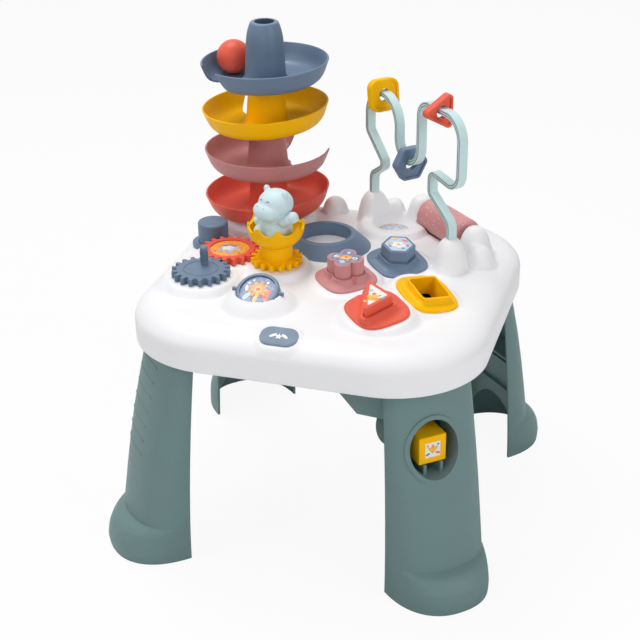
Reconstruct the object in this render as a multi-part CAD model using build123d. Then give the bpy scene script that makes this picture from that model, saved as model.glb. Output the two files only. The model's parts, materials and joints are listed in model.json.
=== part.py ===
from build123d import *
import math
import os

# A child's activity table: a white top on four green legs, with a ball tower, meshed gears,
# a shape sorter with a chute to a leg pocket, a bead rail, a roller, a push button and a flip tile.
# Lengths are in millimetres, the floor is at height zero and the front faces minus Y.

os.makedirs("parts", exist_ok=True)

# Table top
top_half = 222.0
top_corner = 118.0
rim_bottom = 274.0
top_level = 324.0
lobe_level = 334.0
rim_round = 24.0
shell_wall = 3.0
form_sink = 8.0
lobe_round = 4.0
underside = top_level - shell_wall

# Clearances
running_gap = 0.08
sliding_gap = 0.5
cut_over = 2.0

# Gear train; the label gear's place fixes the other two
gear_module = 3.8
crank_teeth = 18
label_teeth = 19
crown_teeth = 16
addendum_share = 0.75
dedendum_share = 1.0
pressure_angle = 20.0
tooth_slack = 0.5
tip_bevel = 0.7
gear_thick = 8.5
gear_lift = 0.6
label_gear_at = (-136.0, -13.0)
crank_bearing = -101.0
crown_bearing = -6.0
hub_radius = 7.0
boss_wall = 4.0
boss_bottom = 310.0
cap_radius = 10.0
cap_thick = 3.0
cap_gap = 0.6
hub_screw_radius = 2.0
hub_screw_depth = 12.0

# Crank peg on the blue gear
peg_radius = 5.0
peg_height = 24.0
peg_offset = 13.0
peg_round = 1.6
flute_radius = 0.9
flute_count = 10

# Label gear recess and its disc
recess_radius = 26.0
recess_depth = 2.4
label_thick = 0.8
label_gap = 0.4

# Crown cup on the yellow gear
column_radius = 20.5
column_top = 360.0
cup_radius = 36.0
cup_rim = 391.0
cup_wall = 3.0
cup_floor = 364.0
cup_waist_share = 0.95
cup_belly_share = 0.93
cup_belly_drop = 18.0
spigot_radius = 8.0
spigot_depth = 9.0
petal_count = 8
petal_radius = 12.5
petal_lift = 4.5

# Figurine that sits in the cup, sized from its standing height
figure_height = 71.0
figure_bearing = -118.0

# Push button
button_at = (-177.0, 36.0)
button_radius = 20.0
button_top = 356.0
button_wall = 2.4
button_round = 3.0
collar_top = 328.0
collar_bottom = 318.0
collar_wall = 4.0
collar_flange = 3.5
collar_flange_thick = 3.0
lip_reach = 3.0
lip_thick = 2.5
guide_wall = 2.0
guide_floor = 292.0
spring_radius = 9.0
spring_wire = 0.9
spring_turns = 9.0

# Flip tile in its dome
tile_at = (-60.0, -122.0)
tile_axis_height = 341.0
tile_radius = 27.0
tile_hole = 22.5
tile_thick = 8.0
tile_disc_thick = 3.0
tile_tilt = 25.0
tile_pin_radius = 2.5
tile_pin_reach = 5.5
tile_room = 1.4
dome_base = 46.0
dome_sphere = 59.7
dome_sink = 36.0
dome_centre_height = top_level - dome_sink

# Ball, ball ring, well
ball_diameter = 46.0
ring_at = (-25.0, 69.0)
ring_base_radius = 54.0
ring_top_radius = 40.0
ring_hole_radius = 34.0
ring_height = 18.0
ring_shift = -6.0
ring_round = 2.5
well_at = (42.0, 148.0)
well_radius = 32.0
well_depth = 13.0
well_floor_radius = 22.0
well_lobe = 43.0
well_label_radius = 21.5

# Ball tower
tower_at = (-134.5, 142.5)
tray_pitch = 60.0
tray_radius = 85.0
tray_depth = 26.0
tray_wall = 2.6
tray_foot = 4.2
tray_flat = 57.0
tray_fillet_foot = 40.0
tray_fillet_rise = 13.0
tray_rise_share = 0.42
tray_bend_share = 0.62
column_base_radius = 27.0
column_tip_radius = 23.5
column_bore = 19.0
stack_spigot = 6.0
stack_spigot_wall = 2.5
tower_top = 599.0
tower_top_round = 2.5
hole_radius = 30.0
hole_reach = 61.0
tray_names = ("tray_red", "tray_pink", "tray_yellow", "tray_blue")
hole_bearings = (-72.0, 24.0, 112.0, -135.0)
tray_tilts = (3.4, 0.0, 3.4, 1.5)
tilt_bearing = -73.0
ball_bearing = 160.0
ball_reach = 54.0

# Shape sorter
sorter_turn = 45.0
flower_at = (26.4, -35.6)
hexagon_at = (76.0, 29.8)
triangle_at = (90.0, -125.0)
square_at = (136.7, -66.3)
flower_level = 330.0
hexagon_level = 330.0
triangle_level = 336.5
square_level = 336.0
flower_lean = 4.0
flower_lean_bearing = -90.0
hexagon_lean = 9.0
hexagon_lean_bearing = -56.0
triangle_lean = 9.0
triangle_lean_bearing = -83.0
square_lean = 18.0
square_lean_bearing = -14.0
block_height = 38.0
block_round = 1.2
cube_edge = 36.0
cube_round = 3.0
hexagon_radius = 22.0
triangle_leg = 47.0
triangle_round = 3.0
triangle_turn = 11.0
petal_disc = 10.5
petal_reach = 13.0
flange_half = 34.8
flange_power = 3.2
side_power = 9.0
block_gap = 0.9
lip_wall = 3.8
lip_limit_share = 0.95
lip_base_wall = 5.6
lip_mid_wall = 9.5
collar_height = 11.5
collar_height_shares = (0.0, 0.2, 0.34, 0.52, 1.0)
plug_wall = 2.6
plug_depth = 14.0
sorter_lobe = 41.0
sorter_lobe_depth = 60.0
flower_stand = 30.0
hexagon_stand = 27.0
triangle_stand = 23.5

# Chute under the sorter, set out along the front right diagonal
chute_length = 212.0
chute_half_width = 100.0
chute_outline_shares = ((-0.02, -0.46), (0.45, -0.74), (0.9, -0.74), (1.0, -0.5),
                        (1.0, 0.46), (0.86, 0.9), (0.27, 1.16), (-0.02, 1.1))
chute_height = 262.0
chute_drop_share = 0.16
chute_wall = 2.5
chute_mouth = 30.0

# Legs: distances from the table's middle along the diagonal, at the foot and at the top
leg_edge_foot = 244.0
leg_edge_top = 221.0
leg_outer_foot = 309.0
leg_outer_top = 242.0
leg_half_foot = 65.0
leg_half_top = 58.0
toe_reach = 18.0
toe_height = 66.0
leg_edge_power = 1.6
leg_outer_power = 1.35
toe_height_shares = (0.0, 0.2, 0.4, 0.58, 0.74, 0.88, 1.0)
shaft_height_shares = (0.15, 0.32, 0.5, 0.68, 0.84, 1.0)
leg_wall = 3.0
leg_power = 2.3
leg_top = 300.0
leg_shelf = 148.0
leg_shelf_inset = 15.0
leg_web_inset = 23.0
leg_screw_radius = 2.0
leg_screw_head = 4.5
leg_screw_head_thick = 3.0
leg_screw_reach = 12.0
leg_screw_u = 229.0
leg_screw_v = 28.0
leg_boss_radius = 6.0

# Pocket in the front right leg
pocket_height = 203.0
pocket_half_width = 31.0
pocket_half_height = 36.0
pocket_u = 269.0
pocket_v = -13.0
pocket_turn = -4.0
pocket_lip = 5.0
pocket_lip_lift = 2.0
pocket_sleeve = 2.5
pocket_reach = 90.0
pocket_floor = 182.0
pocket_rib = 4.0
pocket_rib_spread = 11.0
pocket_rib_length = 34.0
cube_inset = 24.0

# Bead rail in an upright plane over the back right corner
rail_start = (8.0, 172.0)
rail_bearing = -44.0
rail_width = 11.5
rail_thick = 7.0
groove_width = 0.9
groove_depth = 1.0
groove_offset = 1.5
rail_foot = 330.0
rail_span = 187.4
rail_rise = 197.0
rail_corner_shares = ((0.0, 0.0), (0.0, 0.315), (0.176, 0.426), (-0.059, 0.619), (-0.059, 0.919),
                      (0.331, 0.919), (0.331, 0.543), (0.608, 0.543), (0.608, 1.0), (1.094, 1.0),
                      (1.094, 0.528), (0.758, 0.569), (0.758, 0.421), (1.0, 0.284), (1.0, 0.0))
rail_bend_shares = (0.075, 0.048, 0.064, 0.194, 0.194, 0.138, 0.138,
                    0.107, 0.16, 0.107, 0.053, 0.053, 0.075)
anchor_radius = 20.0
anchor_top = 366.0
wedge_size = 12.0
wedge_thick = 5.0

# Beads on the rail
bead_thick = 12.0
bead_hole = 8.4
bead_dish = 2.0
bead_border = 4.0
bead_edge_round = 2.0
bead_square_edge = 43.0
bead_square_corner = 12.0
bead_hexagon_radius = 25.0
bead_triangle_radius = 30.0
bead_corner = 6.0
bead_rest_gap = 0.09
square_bead_angle = 98.0
triangle_bead_along = 156.0

# Roller in the back right corner, parallel to the rail
roller_at = (118.0, 141.0)
roller_height = 341.0
roller_radius = 22.0
roller_length = 92.0
roller_round = 5.0
roller_room = 2.0
axle_radius = 3.0
axle_reach = 14.0
support_radius = 19.0
support_top = 361.0
support_reach = 63.0

# Cloud humps and pads on the top; shares of the half width, twice, and of the hump's radius and height
hump_radius = 16.0
hump_height = 27.0
hump_shares = ((-0.235, 0.845, 1.0, 0.74), (0.15, 0.845, 0.85, 1.0), (0.79, 0.3, 1.1, 0.9))
pad_radius = 58.0
island_margin = 6.0

# Badge on the front rounding and the small raised pad behind it
badge_across = -9.0
badge_inset = 25.0
badge_at = (badge_across, badge_inset - top_half)
badge_height = 323.6
badge_tilt = 17.0
badge_length = 46.0
badge_width = 30.0
badge_corner = 13.0
badge_thick = 1.4
badge_pad = 4.0
badge_pad_thick = 7.0
badge_pad_lift = 1.2

lowest = Align.MIN
middle = Align.CENTER
on_base = (middle, middle, lowest)


def post(place, radius, low, high):
    # Upright round bar between two heights.
    return Pos(place[0], place[1], low) * Cylinder(radius, high - low, align=on_base)


def polar(place, reach, bearing):
    angle = math.radians(bearing)
    return (place[0] + reach * math.cos(angle), place[1] + reach * math.sin(angle))


def turned(*edges):
    # Solid of revolution about the upright axis from edges drawn as (radius, 0, height).
    return revolve(make_face(list(edges)), Axis.Z)


def turned_points(points):
    return turned(Polyline(*[(radius, 0, height) for radius, height in points], close=True))


def hump(x, y, radius, high, low):
    # Pillar with a ball top.
    ball_height = high - radius
    pillar = post((x, y), radius, low, max(ball_height, low + cut_over))
    return pillar + Pos(x, y, ball_height) * Sphere(radius)


def sided_radius(normals, reach, power):
    # Radius against angle for a shape bounded by flats, with softened corners.
    def radius_at(angle):
        total = 0
        for normal in normals:
            facing = math.cos(angle - math.radians(normal))
            if facing > 0:
                total = total + (facing / reach) ** power
        return total ** (-1 / power)
    return radius_at


def flower_radius(grow):
    def radius_at(angle):
        quarter = math.pi / 2
        offset = (angle + quarter / 2) % quarter - quarter / 2
        across = petal_reach * math.sin(offset)
        return petal_reach * math.cos(offset) + math.sqrt(petal_disc ** 2 - across ** 2) + grow
    return radius_at


def ring_face(radius_at, height):
    steps = 48
    angles = [2 * math.pi * step / steps for step in range(steps)]
    points = []
    for angle in angles:
        radius = radius_at(angle)
        points.append((radius * math.cos(angle), radius * math.sin(angle), height))
    return make_face(Spline(*points, periodic=True))


def tooth_outline(teeth, phase):
    # Involute teeth with shortened tips, as a closed list of points round the gear.
    pitch_radius = gear_module * teeth / 2
    base_radius = pitch_radius * math.cos(math.radians(pressure_angle))
    tip_radius = pitch_radius + gear_module * addendum_share
    root_radius = pitch_radius - gear_module * dedendum_share
    pressure = math.radians(pressure_angle)
    half_pitch = math.pi / (2 * teeth) - tooth_slack / 2 / pitch_radius + math.tan(pressure) - pressure
    low_radius = max(base_radius, root_radius)

    def half_angle(radius):
        roll = math.acos(min(1, base_radius / radius))
        return half_pitch - (math.tan(roll) - roll)

    flank_shares = (0.0, 0.35, 0.7, 1.0)
    shoulder = tip_radius - tip_bevel
    flank = [low_radius + (shoulder - low_radius) * share for share in flank_shares]
    side = [(radius, half_angle(radius)) for radius in flank]
    if root_radius < low_radius:
        side = [(root_radius, half_angle(low_radius))] + side
    side = side + [(tip_radius, half_angle(tip_radius) - tip_bevel / tip_radius)]
    points = []
    for tooth in range(teeth):
        centre = math.radians(phase) + 2 * math.pi * tooth / teeth
        rising = [(radius, centre - spread) for radius, spread in side]
        falling = [(radius, centre + spread) for radius, spread in reversed(side)]
        for radius, angle in rising + falling:
            points.append((radius * math.cos(angle), radius * math.sin(angle)))
    return points


def gear_blank(place, teeth, phase):
    # Toothed disc with a hub that runs down through the top and a bore for its screw.
    face = make_face(Polyline(*tooth_outline(teeth, phase), close=True))
    disc = Pos(place[0], place[1], gear_bottom) * extrude(face, gear_thick)
    hub = post(place, hub_radius, hub_end, gear_bottom + gear_thick / 2)
    bore = post(place, hub_screw_radius, hub_end, hub_end + hub_screw_depth)
    return disc + hub - bore


def hub_screw(place):
    head = post(place, cap_radius, hub_end - cap_thick, hub_end)
    shank = post(place, hub_screw_radius, hub_end - cap_thick, hub_end + hub_screw_depth)
    return head + shank


# Gear places and phases, so that the teeth mesh at rest
gear_bottom = lobe_level + gear_lift
gear_top = gear_bottom + gear_thick
hub_end = boss_bottom - cap_gap
crank_at = polar(label_gear_at, gear_module * (crank_teeth + label_teeth) / 2, crank_bearing)
crown_at = polar(label_gear_at, gear_module * (crown_teeth + label_teeth) / 2, crown_bearing)
label_phase = crown_bearing
crown_phase = crown_bearing + 180 + 180 / crown_teeth
label_pitch = 360 / label_teeth
lead = math.ceil((crank_bearing - crown_bearing) / label_pitch) * label_pitch - (crank_bearing - crown_bearing)
crank_phase = crank_bearing + 180 - lead * label_teeth / crank_teeth + 180 / crank_teeth

# Rail frame
rail_dir = (math.cos(math.radians(rail_bearing)), math.sin(math.radians(rail_bearing)))
rail_plane = Plane(origin=(rail_start[0], rail_start[1], 0), x_dir=(rail_dir[0], rail_dir[1], 0),
                   z_dir=(rail_dir[1], -rail_dir[0], 0))
rail_corners = [(rail_span * along, rail_foot + rail_rise * up) for along, up in rail_corner_shares]
rail_bends = [rail_span * share for share in rail_bend_shares]
rail_end = (rail_start[0] + rail_span * rail_dir[0], rail_start[1] + rail_span * rail_dir[1])
support_places = (polar(roller_at, -support_reach, rail_bearing), polar(roller_at, support_reach, rail_bearing))
roller_plane = Plane(origin=(roller_at[0], roller_at[1], roller_height),
                     x_dir=(0, 0, 1), z_dir=(rail_dir[0], rail_dir[1], 0))


def leaning(place, level, lean, bearing):
    # Place of a sorter on the top, with its axis leaning from upright towards a bearing.
    return Pos(place[0], place[1], level) * Rot(0, 0, bearing) * Rot(0, lean, 0) * Rot(0, 0, -bearing)


flower_place = leaning(flower_at, flower_level, flower_lean, flower_lean_bearing)
hexagon_place = leaning(hexagon_at, hexagon_level, hexagon_lean, hexagon_lean_bearing)
triangle_place = leaning(triangle_at, triangle_level, triangle_lean, triangle_lean_bearing)
square_place = leaning(square_at, square_level, square_lean, square_lean_bearing)
sorter_places = (flower_place, hexagon_place, triangle_place, square_place)


def island_radius(teeth):
    return gear_module * (teeth / 2 + addendum_share) + island_margin


def top_form(inset):
    # The outside of the top, or its inside when inset by the wall.
    low = rim_bottom if inset == 0 else rim_bottom - cut_over
    high = top_level - inset
    side = 2 * (top_half - inset)
    slab = extrude(RectangleRounded(side, side, top_corner - inset), high - low)
    slab = fillet(slab.faces().sort_by(Axis.Z)[-1].edges(), rim_round - inset / 2)
    form = Pos(0, 0, low) * slab
    floor = high - form_sink
    lobes = [(crank_at, island_radius(crank_teeth)), (label_gear_at, island_radius(label_teeth)),
             (crown_at, island_radius(crown_teeth)), (well_at, well_lobe), (tower_at, pad_radius)]
    for place, radius in lobes:
        lobe = Cylinder(radius - inset, lobe_level - inset - floor, align=on_base)
        lobe = fillet(lobe.faces().sort_by(Axis.Z)[-1].edges(), lobe_round - inset / 2)
        form = form + Pos(place[0], place[1], floor) * lobe
    upper = Pos(0, 0, floor) * Box(side, side, side, align=on_base)
    for place in sorter_places:
        lobe = Cylinder(sorter_lobe - inset, sorter_lobe_depth - inset, align=on_base)
        lobe = fillet(lobe.faces().sort_by(Axis.Z)[-1].edges(), lobe_round - inset / 2)
        form = form + ((place * (Pos(0, 0, -sorter_lobe_depth) * lobe)) & upper)
    dome = Pos(tile_at[0], tile_at[1], dome_centre_height) * Sphere(dome_sphere - inset)
    dome = dome & post(tile_at, dome_base - inset, floor, dome_centre_height + dome_sphere)
    form = form + dome
    humps = [(top_half * x, top_half * y, hump_radius * wide, top_level + hump_height * tall)
             for x, y, wide, tall in hump_shares]
    humps = humps + [(place[0], place[1], support_radius, support_top) for place in support_places]
    humps = humps + [(place[0], place[1], anchor_radius, anchor_top) for place in (rail_start, rail_end)]
    for x, y, radius, high_point in humps:
        form = form + hump(x, y, radius - inset, high_point - inset, floor)
    return form


def leg_face(height, inset, open_side):
    # Half-round leg section, flat side towards the table's middle.
    rise_share = height / leg_top
    edge = leg_edge_foot - (leg_edge_foot - leg_edge_top) * rise_share ** leg_edge_power
    outer = leg_outer_foot - (leg_outer_foot - leg_outer_top) * rise_share ** leg_outer_power
    outer = outer + toe_reach * max(0, 1 - (height / toe_height) ** 2)
    depth = outer - edge - inset
    half = leg_half_foot - (leg_half_foot - leg_half_top) * rise_share - inset
    steps = 16
    points = []
    for step in range(steps + 1):
        angle = math.pi * (step / steps - 1 / 2)
        along = abs(math.cos(angle)) ** (2 / leg_power) if 0 < step < steps else 0
        across = math.copysign(abs(math.sin(angle)) ** (2 / leg_power), math.sin(angle))
        points.append((edge + depth * along, half * across, height))
    first = (edge - open_side, -half, height)
    last = (edge - open_side, half, height)
    sides = [Spline(*points), Line(last, first)]
    if open_side > 0:
        sides = sides + [Line(points[-1], last), Line(first, points[0])]
    return make_face(sides)


def leg_body(inset, open_side, high):
    heights = [toe_height * share for share in toe_height_shares]
    heights = heights + [toe_height + (leg_top - toe_height) * share for share in shaft_height_shares]
    body = loft([leg_face(height, inset, open_side) for height in heights], ruled=True)
    big = 2 * top_half
    return body & (Pos(leg_edge_foot, 0, 0) * Box(big, big, high, align=on_base))


def leg():
    outside = leg_body(0, 0, leg_top)
    room = leg_body(leg_wall, leg_screw_reach, leg_top - leg_wall)
    big = 2 * top_half
    shelf = Pos(leg_edge_foot, 0, leg_shelf) * Box(big, big, leg_wall, align=on_base)
    web = Box(big, leg_wall, leg_shelf, align=(lowest, middle, lowest))
    web = Pos(leg_screw_u + leg_web_inset, 0, 0) * web
    ribs = room & (shelf + web)
    inner_side = Box(big, big, leg_top, align=(lowest, middle, lowest))
    ribs = ribs & (Pos(leg_screw_u + leg_shelf_inset, 0, 0) * inner_side)
    body = outside - room + ribs
    for side in (-1, 1):
        place = (leg_screw_u, side * leg_screw_v)
        body = body - post(place, leg_screw_radius, leg_top - leg_wall - cut_over, leg_top)
    return body


def pocket_prism(grow, back):
    # Egg-shaped bar along the pocket's own direction.
    frame = Plane(origin=(pocket_u, pocket_v, pocket_height), x_dir=(0, 0, 1),
                  z_dir=(math.cos(math.radians(pocket_turn)), math.sin(math.radians(pocket_turn)), 0))
    section = Ellipse(pocket_half_height + grow, pocket_half_width + grow)
    return frame * (Pos(0, 0, -back) * extrude(section, back + pocket_reach))


def pocket_place(inwards):
    angle = math.radians(pocket_turn)
    return (pocket_u - inwards * math.cos(angle), pocket_v - inwards * math.sin(angle))


def pocket_leg():
    outside = leg_body(0, 0, leg_top)
    proud = leg_body(-pocket_lip_lift, 0, leg_top)
    room = leg_body(leg_wall, 0, leg_top - leg_wall)
    lip = proud & pocket_prism(pocket_lip, pocket_lip * 4)
    sleeve = room & (pocket_prism(pocket_sleeve, pocket_reach) - pocket_prism(0, pocket_reach))
    body = leg() + (lip - room) + sleeve
    body = body - pocket_prism(0, pocket_reach)
    rib_bottom = pocket_height - pocket_half_height - pocket_sleeve / 2
    for side in (-1, 1):
        middle_place = pocket_place(pocket_rib_length / 2 + leg_wall)
        rib = Box(pocket_rib_length, pocket_rib, pocket_floor - rib_bottom, align=on_base)
        rib = Pos(0, side * pocket_rib_spread, 0) * rib
        body = body + Pos(middle_place[0], middle_place[1], rib_bottom) * Rot(0, 0, pocket_turn) * rib
    return body


def at_corner(shape, bearing):
    return Rot(0, 0, bearing) * shape


def rounded_path(corners, bends):
    # Straight runs and tangent arcs: lists of (start, end) or (start, middle, end, centre, turn).
    pieces = []
    start = corners[0]
    for index, bend in enumerate(bends):
        before = corners[index]
        corner = corners[index + 1]
        after = corners[index + 2]
        into = (Vector(*corner) - Vector(*before)).normalized()
        out = (Vector(*after) - Vector(*corner)).normalized()
        turn = into.X * out.Y - into.Y * out.X
        sweep = math.acos(max(-1, min(1, into.dot(out))))
        cut = bend * math.tan(sweep / 2)
        first = Vector(*corner) - into * cut
        last = Vector(*corner) + out * cut
        sign = math.copysign(1, turn)
        centre = first + Vector(-into.Y, into.X) * sign * bend
        bisect = (Vector(*corner) - centre).normalized()
        halfway = centre + bisect * bend
        pieces.append((Vector(*start), first))
        pieces.append((first, halfway, last, centre, sign))
        start = (last.X, last.Y)
    pieces.append((Vector(*start), Vector(*corners[-1])))
    return pieces


def offset_edge(piece, shift):
    # The same run moved sideways, to the left when the shift is positive.
    if len(piece) == 2:
        along = (piece[1] - piece[0]).normalized()
        side = Vector(-along.Y, along.X) * shift
        return Line(piece[0] + side, piece[1] + side)
    centre = piece[3]
    radius = (piece[0] - centre).length
    share = (radius - piece[4] * shift) / radius
    points = [centre + (point - centre) * share for point in piece[:3]]
    return ThreePointArc(*points)


def band_face(pieces, low, high):
    lower = [offset_edge(piece, low) for piece in pieces]
    upper = [offset_edge(piece, high) for piece in pieces]
    ends = [Line(lower[0] @ 0, upper[0] @ 0), Line(lower[-1] @ 1, upper[-1] @ 1)]
    return make_face(lower + upper + ends)


def bead(section, small_section):
    # Thick plate with dished faces and a hole for the rail.
    plate = extrude(section, bead_thick / 2, both=True)
    rims = plate.faces().sort_by(Axis.Z)[-1].edges() + plate.faces().sort_by(Axis.Z)[0].edges()
    plate = fillet(rims, bead_edge_round)
    dish = extrude(small_section, bead_dish)
    plate = plate - Pos(0, 0, bead_thick / 2 - bead_dish) * dish - Pos(0, 0, -bead_thick / 2) * dish
    return plate - Cylinder(bead_hole, bead_thick + cut_over)


def block(section, stand):
    # Sorter block whose top stands this far above its pad.
    body = extrude(section, block_height)
    ends = body.faces().sort_by(Axis.Z)[-1].edges() + body.faces().sort_by(Axis.Z)[0].edges()
    return Pos(0, 0, stand - block_height) * fillet(ends, block_round)


def collar(radius_for, section, place):
    # Flared skirt from a soft square flange to a lip round the hole, with a plug into the top.
    flange = sided_radius(square_normals, flange_half, flange_power)

    def within(radius_at):
        return lambda angle: min(radius_at(angle), flange(angle) * lip_limit_share)

    rims = (flange, flange, within(radius_for(lip_mid_wall)), within(radius_for(lip_base_wall)),
            within(radius_for(lip_wall)))
    skirt = loft([ring_face(rim, collar_height * share) for rim, share in zip(rims, collar_height_shares)])
    plug = extrude(offset(section, block_gap + plug_wall), plug_depth + collar_height / 2)
    plug = Pos(0, 0, -plug_depth) * plug
    room_height = plug_depth + collar_height + 2 * cut_over
    room = Pos(0, 0, -plug_depth - cut_over) * extrude(offset(section, block_gap), room_height)
    return place * (skirt + plug - room)


def plug_hole(section, place):
    face = offset(section, block_gap + plug_wall)
    return place * (Pos(0, 0, -plug_depth - cut_over) * extrude(face, plug_depth + 2 * cut_over))


# Block sections and the radius functions of their collars
triangle_in = triangle_leg * (2 - math.sqrt(2)) / 2
square_normals = [sorter_turn + 90 * side for side in range(4)]
hexagon_normals = [sorter_turn + 60 * side for side in range(6)]
triangle_normals = [triangle_turn - 45, triangle_turn + 45, triangle_turn + 180]
cube_section = Rot(0, 0, sorter_turn) * RectangleRounded(cube_edge, cube_edge, cube_round)
hexagon_section = Rot(0, 0, sorter_turn - 30) * RegularPolygon(hexagon_radius, 6)
hexagon_section = fillet(hexagon_section.vertices(), cube_round / 2)
triangle_tip = triangle_in * math.sqrt(2)
triangle_half = triangle_leg / math.sqrt(2)
triangle_points = ((triangle_tip, 0), (triangle_tip - triangle_half, triangle_half),
                   (triangle_tip - triangle_half, -triangle_half))
triangle_section = Rot(0, 0, triangle_turn) * make_face(Polyline(*triangle_points, close=True))
triangle_section = fillet(triangle_section.vertices(), triangle_round)
flower_section = Rectangle(petal_reach, petal_reach)
for side in range(4):
    petal_place = polar((0, 0), petal_reach, 90 * side)
    flower_section = flower_section + Pos(petal_place[0], petal_place[1]) * Circle(petal_disc)


def square_for(grow):
    return sided_radius(square_normals, cube_edge / 2 + grow, side_power)


def hexagon_for(grow):
    return sided_radius(hexagon_normals, hexagon_radius * math.cos(math.pi / 6) + grow, 2 * side_power)


def triangle_for(grow):
    return sided_radius(triangle_normals, triangle_in + grow, side_power)


sorters = (("flower", flower_place, flower_section, flower_radius, flower_stand),
           ("hexagon", hexagon_place, hexagon_section, hexagon_for, hexagon_stand),
           ("triangle", triangle_place, triangle_section, triangle_for, triangle_stand),
           ("square", square_place, cube_section, square_for, None))

# Table top shell
outer_form = top_form(0)
inner_form = top_form(shell_wall)
top_shell = outer_form - inner_form
tile_ball = tile_radius + tile_room
gear_places = (crank_at, label_gear_at, crown_at)
for place in gear_places:
    top_shell = top_shell + post(place, hub_radius + boss_wall, boss_bottom, lobe_level - shell_wall / 2)
tile_bowl = Pos(tile_at[0], tile_at[1], tile_axis_height) * Sphere(tile_ball + shell_wall)
tile_bowl = tile_bowl & post(tile_at, tile_ball + shell_wall, rim_bottom, tile_axis_height - tile_pin_radius)
top_shell = top_shell + tile_bowl
well_floor = lobe_level - well_depth
well_sole = well_floor - shell_wall
well_brim = lobe_level - shell_wall / 2
well_bowl = turned_points(((0, well_sole), (well_floor_radius + shell_wall, well_sole),
                           (well_radius + shell_wall, well_brim), (0, well_brim)))
top_shell = top_shell + Pos(well_at[0], well_at[1], 0) * well_bowl
leg_bearings = {"leg_front_left": -135.0, "leg_front_right": -45.0,
                "leg_back_right": 45.0, "leg_back_left": 135.0}
screw_spots = []
for bearing in leg_bearings.values():
    for side in (-1, 1):
        reach = math.hypot(leg_screw_u, leg_screw_v)
        swing = math.degrees(math.atan2(side * leg_screw_v, leg_screw_u))
        screw_spots.append(polar((0, 0), reach, bearing + swing))
for place in screw_spots:
    boss = post(place, leg_boss_radius, leg_top, lobe_level - shell_wall / 2)
    top_shell = top_shell + (boss & outer_form)
half_wall = shell_wall / 2
for place in support_places:
    core = hump(place[0], place[1], support_radius - half_wall, support_top - half_wall, underside)
    top_shell = top_shell + core
for place in (rail_start, rail_end):
    core = hump(place[0], place[1], anchor_radius - half_wall, anchor_top - half_wall, rail_foot)
    top_shell = top_shell + (core & post(place, anchor_radius, rail_foot, anchor_top))
for place in gear_places:
    top_shell = top_shell - post(place, hub_radius + running_gap, boss_bottom - cut_over, lobe_level + cut_over)
top_shell = top_shell - Pos(tile_at[0], tile_at[1], tile_axis_height) * Sphere(tile_ball)
pin_span = tile_radius + tile_pin_reach + tile_room
pin_bar = Rot(0, 90, 0) * Cylinder(tile_pin_radius + running_gap, 2 * pin_span)
top_shell = top_shell - Pos(tile_at[0], tile_at[1], tile_axis_height) * pin_bar
well_mouth = lobe_level + cut_over / 2
well_cut = turned_points(((0, well_floor), (well_floor_radius, well_floor), (well_radius, well_mouth),
                          (0, well_mouth)))
top_shell = top_shell - Pos(well_at[0], well_at[1], 0) * well_cut
for name, place, section, radius_for, stand in sorters:
    top_shell = top_shell - plug_hole(section, place)
button_hole = button_radius + sliding_gap + collar_wall
top_shell = top_shell - post(button_at, button_hole, collar_bottom, lobe_level + cut_over)
flange_radius = button_hole + collar_flange
top_shell = top_shell - post(button_at, flange_radius + sliding_gap, top_level, lobe_level + cut_over)
roller_cut = roller_plane * Cylinder(roller_radius + roller_room, roller_length + 2 * roller_room)
top_shell = top_shell - roller_cut
top_shell = top_shell - roller_plane * Cylinder(axle_radius, roller_length + 2 * axle_reach)
for place in screw_spots:
    hole_top = leg_top - leg_wall + leg_screw_reach
    top_shell = top_shell - post(place, leg_screw_radius, leg_top - cut_over, hole_top)

# Badge pad on the front rounding
badge_frame = Plane(origin=(badge_at[0], badge_at[1], badge_height), x_dir=(1, 0, 0),
                    z_dir=(0, -math.sin(math.radians(badge_tilt)), math.cos(math.radians(badge_tilt))))
pad_face = RectangleRounded(badge_length + 2 * badge_pad, badge_width + 2 * badge_pad, badge_corner + badge_pad)
pad = extrude(pad_face, badge_pad_thick)
pad = fillet(pad.faces().sort_by(Axis.Z)[-1].edges(), badge_pad_lift)
top_shell = top_shell + badge_frame * (Pos(0, 0, -badge_pad_thick) * pad)
badge_face = RectangleRounded(badge_length, badge_width, badge_corner)
badge = badge_frame * extrude(badge_face, badge_thick)
top_shell = top_shell - badge_frame * extrude(badge_face, badge_pad_thick)

# Rail slots through the anchor humps
pieces = rounded_path(rail_corners, rail_bends)
rail = extrude(band_face(pieces, -rail_thick / 2, rail_thick / 2), rail_width / 2, both=True)
for shift in (-groove_offset, groove_offset):
    groove_face = band_face(pieces, shift - groove_width / 2, shift + groove_width / 2)
    groove = extrude(groove_face, groove_depth)
    rail = rail - Pos(0, 0, rail_width / 2 - groove_depth) * groove
    rail = rail - Pos(0, 0, -rail_width / 2) * groove
rail = rail_plane * rail
for place in (rail_start, rail_end):
    slot = Box(rail_thick, rail_width, anchor_top - rail_foot + cut_over, align=on_base)
    top_shell = top_shell - Pos(place[0], place[1], rail_foot) * Rot(0, 0, rail_bearing) * slot

export_step(top_shell, "parts/top_shell.step")
export_step(badge, "parts/badge.step")
export_step(rail, "parts/rail.step")

# Legs and their screws
plain_leg = leg()
for name, bearing in leg_bearings.items():
    shape = pocket_leg() if name == "leg_front_right" else plain_leg
    export_step(at_corner(shape, bearing), "parts/" + name + ".step")
screws = []
for place in screw_spots:
    seat = leg_top - leg_wall
    head = post(place, leg_screw_head, seat - leg_screw_head_thick, seat)
    shank = post(place, leg_screw_radius, seat - leg_screw_head_thick, seat + leg_screw_reach)
    screws.append(head + shank)
export_step(Compound(children=screws), "parts/leg_screws.step")

# Chute from the sorter to the pocket
slope = math.degrees(math.atan(chute_drop_share))
big = 4 * top_half


def above(height):
    return Pos(0, 0, height) * Rot(0, slope, 0) * Box(big, big, big, align=on_base)


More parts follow.
